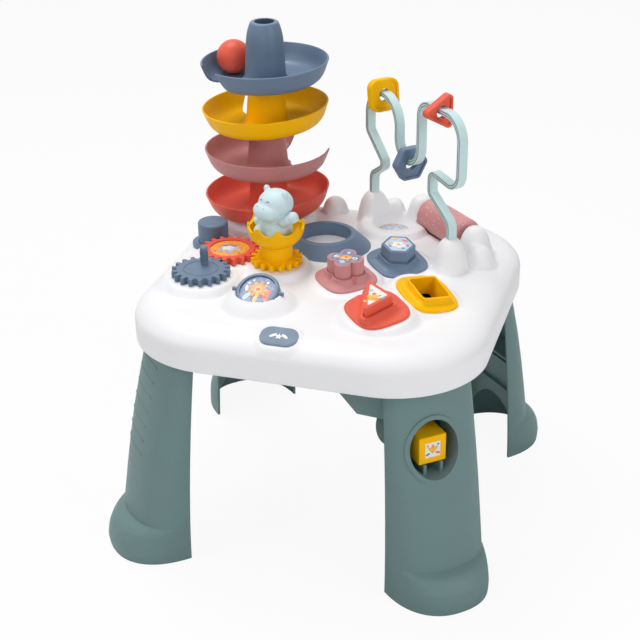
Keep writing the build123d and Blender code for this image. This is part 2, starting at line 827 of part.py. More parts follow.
chute_outline = [(chute_length * along, chute_half_width * across) for along, across in chute_outline_shares]
chute_face = make_face(Polyline(*chute_outline, close=True))
chute_low = chute_height - top_half * chute_drop_share * 2
chute_out = Pos(0, 0, chute_low) * extrude(chute_face, underside - chute_low)
chute_in = Pos(0, 0, chute_low) * extrude(offset(chute_face, -chute_wall), underside - chute_low + cut_over)
chute = (chute_out & above(chute_height - chute_wall)) - (chute_in & above(chute_height))
mouth_u = chute_outline[3][0]
mouth_half = (chute_outline[4][1] - chute_outline[3][1]) / 2 - chute_wall
mouth_mid = (chute_outline[4][1] + chute_outline[3][1]) / 2
mouth = Box(chute_mouth, 2 * mouth_half, underside - chute_low - chute_mouth, align=on_base)
mouth = Pos(mouth_u, mouth_mid, chute_low) * mouth
chute = chute - (mouth & above(chute_height))
export_step(at_corner(chute, leg_bearings["leg_front_right"]), "parts/block_chute.step")

# Sorter collars and blocks
for name, place, section, radius_for, stand in sorters:
    export_step(collar(radius_for, section, place), "parts/collar_" + name + ".step")
    if stand is not None:
        export_step(place * block(section, stand), "parts/block_" + name + ".step")
cube = fillet(Box(cube_edge, cube_edge, cube_edge, align=on_base).edges(), cube_round / 2)
cube_place = pocket_place(cube_inset)
cube = Pos(cube_place[0], cube_place[1], pocket_floor) * Rot(0, 0, pocket_turn) * cube
export_step(at_corner(cube, leg_bearings["leg_front_right"]), "parts/block_square.step")

# Gears
crank_gear = gear_blank(crank_at, crank_teeth, crank_phase)
peg_at = (crank_at[0], crank_at[1] + peg_offset)
peg = Cylinder(peg_radius, peg_height, align=on_base)
peg = fillet(peg.faces().sort_by(Axis.Z)[-1].edges(), peg_round)
for index in range(flute_count):
    flute_place = polar((0, 0), peg_radius, 360 / flute_count * index)
    peg = peg - post(flute_place, flute_radius, peg_radius, peg_height - peg_radius)
crank_gear = crank_gear + Pos(peg_at[0], peg_at[1], gear_top) * peg
export_step(crank_gear, "parts/crank_gear.step")
label_gear = gear_blank(label_gear_at, label_teeth, label_phase)
recess_floor = gear_top - recess_depth
label_gear = label_gear - post(label_gear_at, recess_radius, recess_floor, gear_top + cut_over)
export_step(label_gear, "parts/label_gear.step")
gear_label = post(label_gear_at, recess_radius - label_gap, recess_floor, recess_floor + label_thick)
export_step(gear_label, "parts/gear_label.step")
crown_gear = gear_blank(crown_at, crown_teeth, crown_phase)
crown_gear = crown_gear + post(crown_at, column_radius, gear_bottom, column_top)
crown_gear = crown_gear - post(crown_at, spigot_radius, column_top - spigot_depth, column_top)
export_step(crown_gear, "parts/crown_gear.step")
for name, place in (("crank", crank_at), ("label", label_gear_at), ("crown", crown_at)):
    export_step(hub_screw(place), "parts/" + name + "_hub_screw.step")

# Crown cup
belly = cup_rim - cup_belly_drop
inner_radius = cup_radius - cup_wall
floor_radius = column_radius * cup_waist_share
outer_curve = Spline((column_radius, 0, column_top), (cup_radius * cup_belly_share, 0, belly),
                     (cup_radius, 0, cup_rim))
inner_curve = Spline((floor_radius, 0, cup_floor), (inner_radius * cup_belly_share, 0, belly + cup_wall),
                     (inner_radius, 0, cup_rim))
cup_brim = Line((cup_radius, 0, cup_rim), (inner_radius, 0, cup_rim))
cup_base = Polyline((floor_radius, 0, cup_floor), (0, 0, cup_floor), (0, 0, column_top),
                    (column_radius, 0, column_top))
cup = turned(outer_curve, cup_brim, inner_curve, cup_base)
for index in range(petal_count):
    bite = Rot(0, 0, 360 / petal_count * index) * Pos(0, 0, cup_rim + petal_lift) * Rot(0, 90, 0)
    cup = cup - bite * Cylinder(petal_radius, cup_radius + cut_over, align=on_base)
cup = cup + post((0, 0), spigot_radius, column_top - spigot_depth, column_top)
export_step(Pos(crown_at[0], crown_at[1], 0) * cup, "parts/crown_cup.step")

# Figurine: ball forms as shares of its height, given as forward, left, up and radius
figure_ball_shares = ((0.0, 0.0, 0.26, 0.30), (0.02, 0.0, 0.40, 0.24), (0.03, 0.0, 0.70, 0.255),
                      (0.17, 0.0, 0.60, 0.20), (0.15, 0.11, 0.58, 0.13), (0.15, -0.11, 0.58, 0.13),
                      (-0.02, 0.17, 0.93, 0.06), (-0.02, -0.17, 0.93, 0.06), (0.15, 0.13, 0.115, 0.125),
                      (0.15, -0.13, 0.115, 0.125), (0.05, 0.29, 0.40, 0.10), (0.10, -0.26, 0.40, 0.10),
                      (0.00, 0.36, 0.47, 0.105), (0.18, -0.24, 0.36, 0.095))
figure = Pos(0, 0, figure_height * figure_ball_shares[0][2]) * Sphere(figure_height * figure_ball_shares[0][3])
for forward, left, up, radius in figure_ball_shares[1:]:
    spot = Pos(figure_height * forward, figure_height * left, figure_height * up)
    figure = figure + spot * Sphere(figure_height * radius)
figure = figure & Cylinder(figure_height, figure_height * 2, align=on_base)
figure = Pos(crown_at[0], crown_at[1], cup_floor) * Rot(0, 0, figure_bearing) * figure
export_step(figure, "parts/hippo_figure.step")

# Push button with its collar, guide cup and spring
slide_radius = button_radius + sliding_gap
button_low = collar_bottom - sliding_gap - lip_thick
cap = Cylinder(button_radius, button_top - button_low, align=on_base)
cap = fillet(cap.faces().sort_by(Axis.Z)[-1].edges(), button_round)
button = Pos(button_at[0], button_at[1], button_low) * cap
button = button + post(button_at, button_radius + lip_reach, button_low, button_low + lip_thick)
button = button - post(button_at, button_radius - button_wall, button_low, button_top - button_wall)
export_step(button, "parts/push_button.step")
ring_flange = post(button_at, flange_radius, top_level, top_level + collar_flange_thick)
button_collar = ring_flange + post(button_at, button_hole, collar_bottom, collar_top)
button_collar = button_collar - post(button_at, slide_radius, collar_bottom - cut_over, collar_top + cut_over)
export_step(button_collar, "parts/button_collar.step")
guide_inner = button_radius + lip_reach + sliding_gap
guide = post(button_at, guide_inner + guide_wall, guide_floor - guide_wall, collar_bottom)
guide = guide - post(button_at, guide_inner, guide_floor, collar_bottom)
rest_ring = post(button_at, flange_radius, collar_bottom, underside)
guide = guide + rest_ring - post(button_at, button_hole, collar_bottom, underside)
guide = guide + post(button_at, spring_radius - 3 * spring_wire, guide_floor, guide_floor + lip_thick)
export_step(guide & inner_form, "parts/button_guide.step")
spring_low = guide_floor + spring_wire
spring_high = button_top - button_wall - spring_wire
coil = Helix((spring_high - spring_low) / spring_turns, spring_high - spring_low, spring_radius)
coil_section = Plane(origin=coil @ 0, z_dir=coil % 0) * Circle(spring_wire)
spring = sweep(coil_section, path=coil, is_frenet=True)
export_step(Pos(button_at[0], button_at[1], spring_low) * spring, "parts/button_spring.step")

# Flip tile: a rim with two pins and the picture disc inside
tile_place = Pos(tile_at[0], tile_at[1], tile_axis_height) * Rot(tile_tilt, 0, 0)
rim_ring = Cylinder(tile_radius, tile_thick)
rim_ring = fillet(rim_ring.edges(), tile_thick / 3) - Cylinder(tile_hole, tile_thick + cut_over)
for side in (-1, 1):
    pin_low = (tile_hole + tile_radius) / 2
    pin = Cylinder(tile_pin_radius, tile_radius + tile_pin_reach - pin_low, align=on_base)
    rim_ring = rim_ring + Rot(0, 90 * side, 0) * Pos(0, 0, pin_low) * pin
export_step(tile_place * rim_ring, "parts/tile_rim.step")
export_step(tile_place * Cylinder(tile_hole, tile_disc_thick), "parts/tile_disc.step")

# Ball ring, well label
ring_low = Circle(ring_base_radius)
ring_high = Pos(ring_shift, 0, ring_height) * Circle(ring_top_radius)
ball_ring = loft([ring_low, ring_high])
ball_ring = fillet(ball_ring.faces().sort_by(Axis.Z)[-1].edges(), ring_round)
ring_hole = Cylinder(ring_hole_radius, ring_height + 2 * cut_over, align=on_base)
ball_ring = ball_ring - Pos(ring_shift, 0, -cut_over) * ring_hole
export_step(Pos(ring_at[0], ring_at[1], top_level) * ball_ring, "parts/ball_ring.step")
well_label = post(well_at, well_label_radius, well_floor, well_floor + label_thick)
export_step(well_label, "parts/well_label.step")

# Ball tower, from the lowest tray up
tray_bottom_drop = tray_depth + tray_wall + tray_foot


def tray(top_height, hole_bearing, tilt, is_first):
    # Dish round a hollow column, heights from the tray's own rim; the hole lets the ball drop.
    half = tray_wall / 2
    rim_mid = (tray_radius - half, 0, half)
    wall_in = tray_radius - tray_wall
    low = -tray_depth - tray_wall

    def wall_curve(radius, floor):
        bend = (tray_flat + (radius - tray_flat) * tray_bend_share, 0, floor * (1 - tray_rise_share / 2))
        ways = ((1, 0, 0), (tray_rise_share, 0, 1))
        return Spline((tray_flat, 0, floor), bend, (radius, 0, 0), tangents=ways)

    rim_edge = ThreePointArc((tray_radius, 0, 0), rim_mid, (wall_in, 0, 0))
    base = Polyline((tray_flat, 0, low), (column_bore, 0, low), (column_bore, 0, -tray_depth),
                    (tray_flat, 0, -tray_depth))
    dish = turned(wall_curve(wall_in, -tray_depth), rim_edge, wall_curve(tray_radius, low), base)
    tip = Rot(0, 0, tilt_bearing) * Rot(tilt, 0, 0) * Rot(0, 0, -tilt_bearing)
    dish = Pos(0, 0, -tray_depth) * tip * Pos(0, 0, tray_depth) * dish
    foot = -tray_depth - tray_wall / 2
    flare = Spline((tray_fillet_foot, 0, foot), (column_base_radius, 0, -tray_depth + tray_fillet_rise),
                   tangents=((-1, 0, 0), (0, 0, 1)))
    sole = -tray_bottom_drop
    sides = Polyline((column_base_radius, 0, -tray_depth + tray_fillet_rise),
                     (column_tip_radius, 0, top_height), (column_bore, 0, top_height),
                     (column_bore, 0, sole), (tray_fillet_foot, 0, sole), (tray_fillet_foot, 0, foot))
    body = dish + turned(flare, sides)
    body = body - Cylinder(column_bore, 4 * tray_pitch)
    place = polar((0, 0), hole_reach, hole_bearing)
    drop = post(place, hole_radius, -tray_depth if is_first else -2 * tray_depth, 2 * tray_depth)
    return body - drop


red_rim = lobe_level + tray_bottom_drop
for index, name in enumerate(tray_names):
    rim = red_rim + tray_pitch * index
    is_last = index == len(tray_names) - 1
    top_height = tower_top - rim if is_last else tray_pitch - tray_bottom_drop
    body = tray(top_height, hole_bearings[index], tray_tilts[index], index == 0)
    if is_last:
        top_edges = body.edges().filter_by(GeomType.CIRCLE).group_by(Axis.Z)[-1]
        body = fillet(top_edges.sort_by(SortBy.RADIUS)[-1], tower_top_round)
    else:
        tube = post((0, 0), column_bore, top_height - stack_spigot, top_height + stack_spigot)
        bore_low = top_height - stack_spigot - cut_over
        bore = post((0, 0), column_bore - stack_spigot_wall, bore_low, top_height + stack_spigot + cut_over)
        body = body + tube - bore
    export_step(Pos(tower_at[0], tower_at[1], rim) * body, "parts/" + name + ".step")
blue_floor = red_rim + tray_pitch * (len(tray_names) - 1) - tray_depth
ball_place = polar(tower_at, ball_reach, ball_bearing)
blue_tilt = math.radians(tray_tilts[-1])
ball_uphill = ball_reach * math.cos(math.radians(ball_bearing - tilt_bearing - 90))
ball_height = blue_floor + ball_uphill * math.tan(blue_tilt) + ball_diameter / 2 / math.cos(blue_tilt)
ball = Pos(ball_place[0], ball_place[1], ball_height) * Sphere(ball_diameter / 2)
export_step(ball, "parts/ball.step")

# Rail wedges under the anchor humps
wedges = []
for place in (rail_start, rail_end):
    wedge = Box(wedge_size, wedge_size, wedge_thick, align=(middle, middle, Align.MAX))
    wedges.append(Pos(place[0], place[1], rail_foot) * Rot(0, 0, rail_bearing) * wedge)
export_step(Compound(children=wedges), "parts/rail_wedges.step")

# Beads, each square to the rail where it hangs
loop_centre = pieces[7][3]
cup_centre = pieces[11][3]
loop_angle = math.radians(square_bead_angle)
bead_hang = math.sqrt((bead_hole - bead_rest_gap) ** 2 - (rail_width / 2) ** 2) - rail_thick / 2
cup_rise = (bead_thick / 2 - bead_dish) ** 2 / (2 * (rail_bends[5] - rail_thick / 2))
loop_reach = rail_bends[3] - bead_hang
bead_square_spot = loop_centre + Vector(math.cos(loop_angle), math.sin(loop_angle)) * loop_reach
bead_hexagon_spot = cup_centre + Vector(0, -1) * (rail_bends[5] + bead_hang - cup_rise)
bead_triangle_spot = Vector(triangle_bead_along, rail_corners[8][1] - bead_hang)
square_sketch = RectangleRounded(bead_square_edge, bead_square_edge, bead_square_corner)
hexagon_sketch = fillet(RegularPolygon(bead_hexagon_radius, 6).vertices(), bead_corner)
triangle_sketch = fillet(RegularPolygon(bead_triangle_radius, 3).vertices(), bead_corner)
bead_list = (("bead_square", square_sketch, bead_square_spot, (math.sin(loop_angle), -math.cos(loop_angle))),
             ("bead_hexagon", hexagon_sketch, bead_hexagon_spot, (1, 0)),
             ("bead_triangle", triangle_sketch, bead_triangle_spot, (1, 0)))
for name, sketch, spot, along in bead_list:
    shape = bead(sketch, offset(sketch, -bead_border))
    forward = rail_plane.x_dir * along[0] + rail_plane.y_dir * along[1]
    origin = rail_plane.from_local_coords(Vector(spot.X, spot.Y, 0))
    frame = Plane(origin=origin, x_dir=rail_plane.z_dir, z_dir=forward)
    export_step(frame * shape, "parts/" + name + ".step")

# Roller and its axle
drum = Cylinder(roller_radius, roller_length)
drum = fillet(drum.edges(), roller_round) - Cylinder(axle_radius + running_gap, roller_length + cut_over)
export_step(roller_plane * drum, "parts/roller.step")
export_step(roller_plane * Cylinder(axle_radius, roller_length + 2 * axle_reach), "parts/roller_axle.step")
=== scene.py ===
import json
import math

import bmesh
import bpy
import numpy as np
from mathutils import Matrix, Vector
from mathutils.bvhtree import BVHTree

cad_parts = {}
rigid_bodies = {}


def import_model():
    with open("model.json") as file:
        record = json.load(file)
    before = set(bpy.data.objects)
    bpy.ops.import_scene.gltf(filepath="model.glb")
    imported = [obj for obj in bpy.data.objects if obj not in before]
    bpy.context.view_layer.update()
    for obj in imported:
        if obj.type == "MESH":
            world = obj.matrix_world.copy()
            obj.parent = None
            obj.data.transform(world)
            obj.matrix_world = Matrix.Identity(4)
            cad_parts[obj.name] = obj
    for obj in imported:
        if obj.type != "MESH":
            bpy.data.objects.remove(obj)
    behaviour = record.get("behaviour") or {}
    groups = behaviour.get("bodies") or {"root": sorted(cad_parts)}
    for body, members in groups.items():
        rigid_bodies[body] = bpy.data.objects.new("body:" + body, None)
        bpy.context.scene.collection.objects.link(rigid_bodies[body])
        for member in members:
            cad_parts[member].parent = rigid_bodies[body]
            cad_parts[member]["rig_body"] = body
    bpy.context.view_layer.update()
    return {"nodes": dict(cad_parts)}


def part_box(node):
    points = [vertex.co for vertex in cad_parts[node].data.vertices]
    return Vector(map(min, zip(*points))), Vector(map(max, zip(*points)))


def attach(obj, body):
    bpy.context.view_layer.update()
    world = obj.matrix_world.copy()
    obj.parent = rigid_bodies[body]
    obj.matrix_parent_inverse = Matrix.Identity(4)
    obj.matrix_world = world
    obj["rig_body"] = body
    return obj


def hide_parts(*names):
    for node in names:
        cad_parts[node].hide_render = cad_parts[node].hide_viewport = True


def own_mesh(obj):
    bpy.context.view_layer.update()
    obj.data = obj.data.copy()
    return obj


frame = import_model()
nodes = frame["nodes"]
scene = bpy.context.scene
mm = 0.001


# Small tools. Points and sizes are in millimetres until they go into a mesh

def colour(code):
    """An sRGB hex value as linear red, green, blue and alpha."""
    parts = [int(code[at:at + 2], 16) / 255 for at in (0, 2, 4)]
    parts = [part / 12.92 if part <= 0.04045 else ((part + 0.055) / 1.055) ** 2.4 for part in parts]
    return (*parts, 1.0)


def toned(body, share):
    """A linear colour made darker, or lighter up to full."""
    return tuple(min(1.0, value * share) for value in body[:3]) + (1.0,)


def add(tree, kind, inputs=None, **settings):
    """One node with its settings; a socket among the inputs is linked, a value is set."""
    node = tree.nodes.new(kind)
    for name, value in settings.items():
        setattr(node, name, value)
    for key, value in (inputs or {}).items():
        if isinstance(value, bpy.types.NodeSocket):
            tree.links.new(value, node.inputs[key])
        else:
            node.inputs[key].default_value = value
    return node


def shader_tree(name):
    material = bpy.data.materials.new(name)
    material.use_nodes = True
    material.node_tree.nodes.clear()
    return material, material.node_tree


def around(bearing):
    return math.cos(math.radians(bearing)), math.sin(math.radians(bearing))


def circle(middle, radius, level, count, closed=False):
    """Points at even steps round an upright axis; a closed row ends where it starts."""
    turns = [around(360 * step / count) for step in range(count + closed)]
    return [(middle[0] + radius * c, middle[1] + radius * s, level) for c, s in turns]


def band(lower, upper, count):
    """The four-sided faces between two closed rings of corners, given by their first numbers."""
    return [(lower + k, lower + (k + 1) % count, upper + (k + 1) % count, upper + k) for k in range(count)]


def linked(name, data):
    made = bpy.data.objects.new(name, data)
    scene.collection.objects.link(made)
    return made


def worked_out(holder):
    """The object's mesh with its modifiers applied. The object goes, and its modifiers with it."""
    bpy.context.view_layer.update()
    mesh = bpy.data.meshes.new_from_object(holder.evaluated_get(bpy.context.evaluated_depsgraph_get()))
    bpy.data.objects.remove(holder)
    return mesh


def skin_of(mesh):
    """A mesh's faces, ready for rays to be cast on."""
    return BVHTree.FromPolygons([corner.co for corner in mesh.vertices],
                                [face.vertices for face in mesh.polygons])


def reworked(mesh, work):
    """A mesh that a function changes in its editable form."""
    form = bmesh.new()
    form.from_mesh(mesh)
    work(form)
    form.to_mesh(mesh)
    form.free()


def piece(name, points, faces, materials, body, stands_for=(), indices=None, smooth=True):
    """A finished piece from points and faces, riding on its body."""
    mesh = bpy.data.meshes.new(name)
    mesh.from_pydata([[value * mm for value in point] for point in points], [], faces)
    return settle(name, mesh, materials, body, stands_for, indices, smooth)


def settle(name, mesh, materials, body, stands_for=(), indices=None, smooth=True):
    """A mesh as a piece with its materials, riding on its body."""
    for material in materials:
        mesh.materials.append(material)
    if indices is not None:
        mesh.polygons.foreach_set("material_index", indices)
    mesh.polygons.foreach_set("use_smooth", [smooth] * len(mesh.polygons))
    mesh.validate()
    mesh.update()
    made = linked(name, mesh)
    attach(made, body)
    if stands_for:
        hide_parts(*stands_for)
    return made


# Finishes

flow_size = 38.0  # across one patch of the flow mottle
patch_size = 9.0  # across one patch of duller or brighter skin
grain_deep = 0.12


def moulded(name, code, rough, grain, mottle, relief, index, shine=0.32):
    """Injection-moulded plastic: an even body colour, a faint flow mottle and a fine spark-eroded grain."""
    material, tree = shader_tree(name)
    place = add(tree, "ShaderNodeTexCoord").outputs["Object"]
    flow = add(tree, "ShaderNodeTexNoise", {"Vector": place, "Scale": 1 / (flow_size * mm), "Detail": 3.0})
    body = colour(code)
    tone = add(tree, "ShaderNodeMix", {
        0: flow.outputs[0], 6: toned(body, 1 - mottle), 7: toned(body, 1 + mottle)}, data_type="RGBA")
    skin = add(tree, "ShaderNodeTexNoise", {"Vector": place, "Scale": 1 / (grain * mm), "Detail": 2.0})
    patch = add(tree, "ShaderNodeTexNoise", {"Vector": place, "Scale": 1 / (patch_size * mm), "Detail": 2.0})
    gloss = add(tree, "ShaderNodeMapRange", {
        0: patch.outputs[0], 1: 0.3, 2: 0.7, 3: rough - 0.05, 4: rough + 0.05})
    bump = add(tree, "ShaderNodeBump", {
        "Strength": relief, "Distance": grain_deep * mm, "Height": skin.outputs[0]})
    shader = add(tree, "ShaderNodeBsdfPrincipled", {
        "Base Color": tone.outputs[2], "Roughness": gloss.outputs[0], "Normal": bump.outputs[0], "IOR": index,
        "Specular IOR Level": shine})
    add(tree, "ShaderNodeOutputMaterial", {"Surface": shader.outputs[0]})
    return material


def printed(name, code, second, blot):
    """Printed vinyl film: flat ink under a thin clear lacquer, with a second ink in soft blots of a given size."""
    material, tree = shader_tree(name)
    place = add(tree, "ShaderNodeTexCoord").outputs["Object"]
    blots = add(tree, "ShaderNodeTexNoise", {"Vector": place, "Scale": 1 / (blot * mm), "Detail": 1.0})
    edge = add(tree, "ShaderNodeMapRange", {0: blots.outputs[0], 1: 0.52, 2: 0.56, 3: 0.0, 4: 1.0})
    mixed = add(tree, "ShaderNodeMix", {0: edge.outputs[0], 6: colour(code), 7: colour(second)},
                data_type="RGBA")
    # the raster of the print, drawn at 0.6 mm, coarser than real so that it shows
    raster = add(tree, "ShaderNodeTexVoronoi", {"Vector": place, "Scale": 1 / (0.6 * mm)})
    fade = add(tree, "ShaderNodeMapRange", {0: raster.outputs[0], 1: 0.0, 2: 0.7, 3: 0.94, 4: 1.0})
    faded = add(tree, "ShaderNodeVectorMath", {0: mixed.outputs[2], 1: fade.outputs[0]}, operation="MULTIPLY")
    film = add(tree, "ShaderNodeTexNoise", {"Vector": place, "Scale": 1 / (4 * mm), "Detail": 2.0})
    gloss = add(tree, "ShaderNodeMapRange", {0: film.outputs[0], 1: 0.3, 2: 0.7, 3: 0.29, 4: 0.40})
    shader = add(tree, "ShaderNodeBsdfPrincipled", {
        "Base Color": faded.outputs[0], "Roughness": gloss.outputs[0], "IOR": 1.46})
    add(tree, "ShaderNodeOutputMaterial", {"Surface": shader.outputs[0]})
    return material


def plated(name, code, rough):
    """Zinc-plated steel: a bright, slightly blue metal with fine drawn scratches and cloudy plating."""
    material, tree = shader_tree(name)
    place = add(tree, "ShaderNodeTexCoord").outputs["Object"]
    haze = add(tree, "ShaderNodeTexNoise", {"Vector": place, "Scale": 1 / (6 * mm), "Detail": 4.0})
    body = colour(code)
    tone = add(tree, "ShaderNodeMix", {0: haze.outputs[0], 6: toned(body, 0.82), 7: body}, data_type="RGBA")
    turn = add(tree, "ShaderNodeMapping", {"Vector": place, "Scale": (1.0, 1.0, 0.08)})
    drawn = add(tree, "ShaderNodeTexNoise", {"Vector": turn.outputs[0], "Scale": 1 / (0.5 * mm), "Detail": 2.0})
    gloss = add(tree, "ShaderNodeMapRange", {
        0: drawn.outputs[0], 1: 0.3, 2: 0.7, 3: rough - 0.07, 4: rough + 0.09})
    shader = add(tree, "ShaderNodeBsdfPrincipled", {
        "Base Color": tone.outputs[2], "Roughness": gloss.outputs[0], "Metallic": 1.0})
    add(tree, "ShaderNodeOutputMaterial", {"Surface": shader.outputs[0]})
    return material


def flecked(name, code, fleck_code):
    """ABS with a pale fleck moulded in: scattered points about a millimetre across, seen on the roller."""
    material, tree = shader_tree(name)
    place = add(tree, "ShaderNodeTexCoord").outputs["Object"]
    cells = add(tree, "ShaderNodeTexVoronoi", {"Vector": place, "Scale": 1 / (5.0 * mm)})
    keep = add(tree, "ShaderNodeMath", {0: cells.outputs[0], 1: 0.16}, operation="LESS_THAN")
    flow = add(tree, "ShaderNodeTexNoise", {"Vector": place, "Scale": 1 / (flow_size * mm), "Detail": 3.0})
    body = colour(code)
    tone = add(tree, "ShaderNodeMix", {0: flow.outputs[0], 6: toned(body, 0.95), 7: body}, data_type="RGBA")
    fleck = add(tree, "ShaderNodeMix", {0: keep.outputs[0], 6: tone.outputs[2], 7: colour(fleck_code)},
                data_type="RGBA")
    skin = add(tree, "ShaderNodeTexNoise", {"Vector": place, "Scale": 1 / (0.8 * mm), "Detail": 2.0})
    gloss = add(tree, "ShaderNodeMapRange", {0: skin.outputs[0], 1: 0.3, 2: 0.7, 3: 0.40, 4: 0.50})
    bump = add(tree, "ShaderNodeBump", {"Strength": 0.10, "Distance": grain_deep * mm, "Height": skin.outputs[0]})
    shader = add(tree, "ShaderNodeBsdfPrincipled", {
        "Base Color": fleck.outputs[2], "Roughness": gloss.outputs[0], "Normal": bump.outputs[0], "IOR": 1.53})
    add(tree, "ShaderNodeOutputMaterial", {"Surface": shader.outputs[0]})
    return material


# name, colour, roughness, grain in millimetres, mottle, relief, index of refraction
white = moulded("white polypropylene", "F1F1F3", 0.44, 1.1, 0.012, 0.07, 1.49)
sage = moulded("sage polypropylene", "6D8888", 0.46, 1.0, 0.045, 0.14, 1.49)
# a darker sage, painted shade for the inside of the front right leg's pocket
sage_painted_shade = moulded("sage polypropylene with painted shade", "4E6964", 0.5, 1.0, 0.05, 0.12, 1.49)
slate = moulded("slate blue ABS", "677C94", 0.42, 0.9, 0.04, 0.10, 1.53)
pink = moulded("dusty pink ABS", "C68788", 0.42, 0.9, 0.04, 0.10, 1.53, shine=0.24)
coral = moulded("coral red ABS", "E6604B", 0.40, 0.9, 0.04, 0.10, 1.53, shine=0.20)
yellow = moulded("warm yellow ABS", "FDBE04", 0.40, 0.9, 0.035, 0.10, 1.53, shine=0.10)
mint = moulded("pale mint polypropylene", "C9E3E4", 0.40, 0.8, 0.03, 0.08, 1.49)
# dark teal on the floors and walls of the rail's grooves, darker than the mint rail
teal = moulded("dark teal of the rail's grooves", "3F6A67", 0.55, 0.6, 0.05, 0.10, 1.49)
pale_blue = moulded("pale blue soft vinyl", "CFE5EA", 0.50, 0.7, 0.03, 0.09, 1.52)
grey = moulded("grey polypropylene", "9BA3A6", 0.45, 0.9, 0.04, 0.10, 1.49)
roller_pink = flecked("dusty pink flecked ABS", "D08E8E", "F3DEDA")
steel = plated("zinc-plated steel", "C9CCD0", 0.34)
# name, ink, second ink, blot in millimetres
ink_dark = printed("dark slate ink", "2F3A4C", "2F3A4C", 2.0)
film_white = printed("white vinyl film", "EFEDE8", "E6E8EC", 6.0)
film_blue = printed("pale blue printed film", "C5D5E6", "B2C6DE", 5.0)
film_slate = printed("slate printed film", "6E7FA3", "8D9DBB", 5.0)
ink_orange = printed("orange printed film", "F2993B", "F6B65A", 3.5)
ink_amber = printed("amber printed film", "F6B93C", "F9CE6A", 3.0)
ink_coral = printed("coral printed film", "E2694F", "EC8C72", 3.0)
ink_tan = printed("tan printed film", "F3CD97", "EFC083", 3.0)
ink_brown = printed("chestnut printed film", "C7702F", "D98540", 3.0)
ink_lilac = printed("lilac printed film", "B7B3CF", "C9C6DC", 4.0)


# Where things are on the table

top_half, top_corner = 222.0, 118.0  # the top's rounded square
rim_bottom, top_level = 274.0, 324.0
roll_wide, roll_deep = 40.0, 24.0  # the rolled edge of the top
lobe_level = 334.0  # the islands under the gears, the tower and the well
crank_at = (-149.414, -82.008)
label_gear_at = (-136.0, -13.0)
crown_at = (-69.864, -19.951)
gear_hubs, hub_hole = (crank_at, label_gear_at, crown_at), 8.6
tower_at = (-134.5, 142.5)
button_at, button_seat, button_hole = (-177.0, 36.0), 28.6, 24.0
tile_at, tile_level, seat_radius = (-60.0, -122.0), 341.0, 28.4
tile_dome_level, tile_dome_radius = 288.0, 59.7
badge_at, badge_half, badge_level, badge_slope = (-9.0, -197.0), (10.0, 2.0), 323.4, 0.3057
well_at, well_floor, well_foot, well_mouth = (42.0, 148.0), 321.0, 21.0, 29.0
roller_at, roller_level, trough_radius, trough_half = (118.0, 141.0), 341.0, 24.0, 48.0
rail_bearing, rail_start, rail_end = -44.0, (8.0, 172.0), (142.8, 41.8)
seat_wall = 40.0  # how steeply the seats' walls rise

# place, reach and fall of each island
lobes = ((crank_at, 43.0, 1.1), (label_gear_at, 44.5, 1.3), (crown_at, 39.0, 1.8), (tower_at, 57.0, 2.0),
         (well_at, 43.0, 2.0))
pad_reach = 40.0
# place, level, lean and bearing of each sorter collar's pad
sorter_pads = {
    "flower": ((26.4, -35.6), 330.0, 4.0, -90.0),
    "hexagon": ((76.0, 29.8), 330.0, 9.0, -56.0),
    "triangle": ((90.0, -125.0), 336.5, 9.0, -83.0),
    "square": ((136.7, -66.3), 336.0, 18.0, -14.0),
}
# place, radius and height of the cloud humps
humps = (
    ((-52.2, 187.6), 16.0, 344.0), ((33.3, 187.6), 13.6, 351.0), ((175.4, 66.6), 17.6, 348.3),
    ((163.3, 97.2), 19.0, 361.0), ((72.7, 184.8), 19.0, 361.0), (rail_start, 20.0, 366.0), (rail_end, 20.0, 366.0),
)


# The moulded top: a height field on a grid drawn to the rounded square, like a soft cloud

def soft_max(one, other, blend):
    near = np.maximum(blend - np.abs(one - other), 0) / blend
    return np.maximum(one, other) + near * near * blend / 4


def soft_min(one, other, blend):
    return -soft_max(-one, -other, blend)


def past(distance, soft):
    """How far a distance is past zero, with a soft start."""
    over = np.maximum(distance, 0.0)
    return over * over / (over + soft)


def away_from(spot, x, y):
    return np.hypot(x - spot[0], y - spot[1])


def bowl(level, radius, away):
    """A round seat, the flip disc's or the roller's, with steep walls past its edge."""
    return level - np.sqrt(np.maximum(radius ** 2 - away ** 2, 0)) + seat_wall * np.maximum(away - radius, 0)


def ray_reach(c, s, half, corner):
    """How far the rounded square reaches in each direction."""
    c, s = np.abs(c), np.abs(s)
    straight = half / np.maximum(np.maximum(c, s), 1e-9)
    centre = half - corner
    along = (c + s) * centre
    inside = np.maximum(along ** 2 - (2 * centre ** 2 - corner ** 2), 0.0)
    on_side = np.minimum(c, s) * straight <= centre
    return np.where(on_side, straight, along + np.sqrt(inside))


def inset_from_rim(x, y):
    out_x = np.abs(x) - (top_half - top_corner)
    out_y = np.abs(y) - (top_half - top_corner)
    outside = np.hypot(np.maximum(out_x, 0), np.maximum(out_y, 0))
    return top_corner - outside - np.minimum(np.maximum(out_x, out_y), 0)


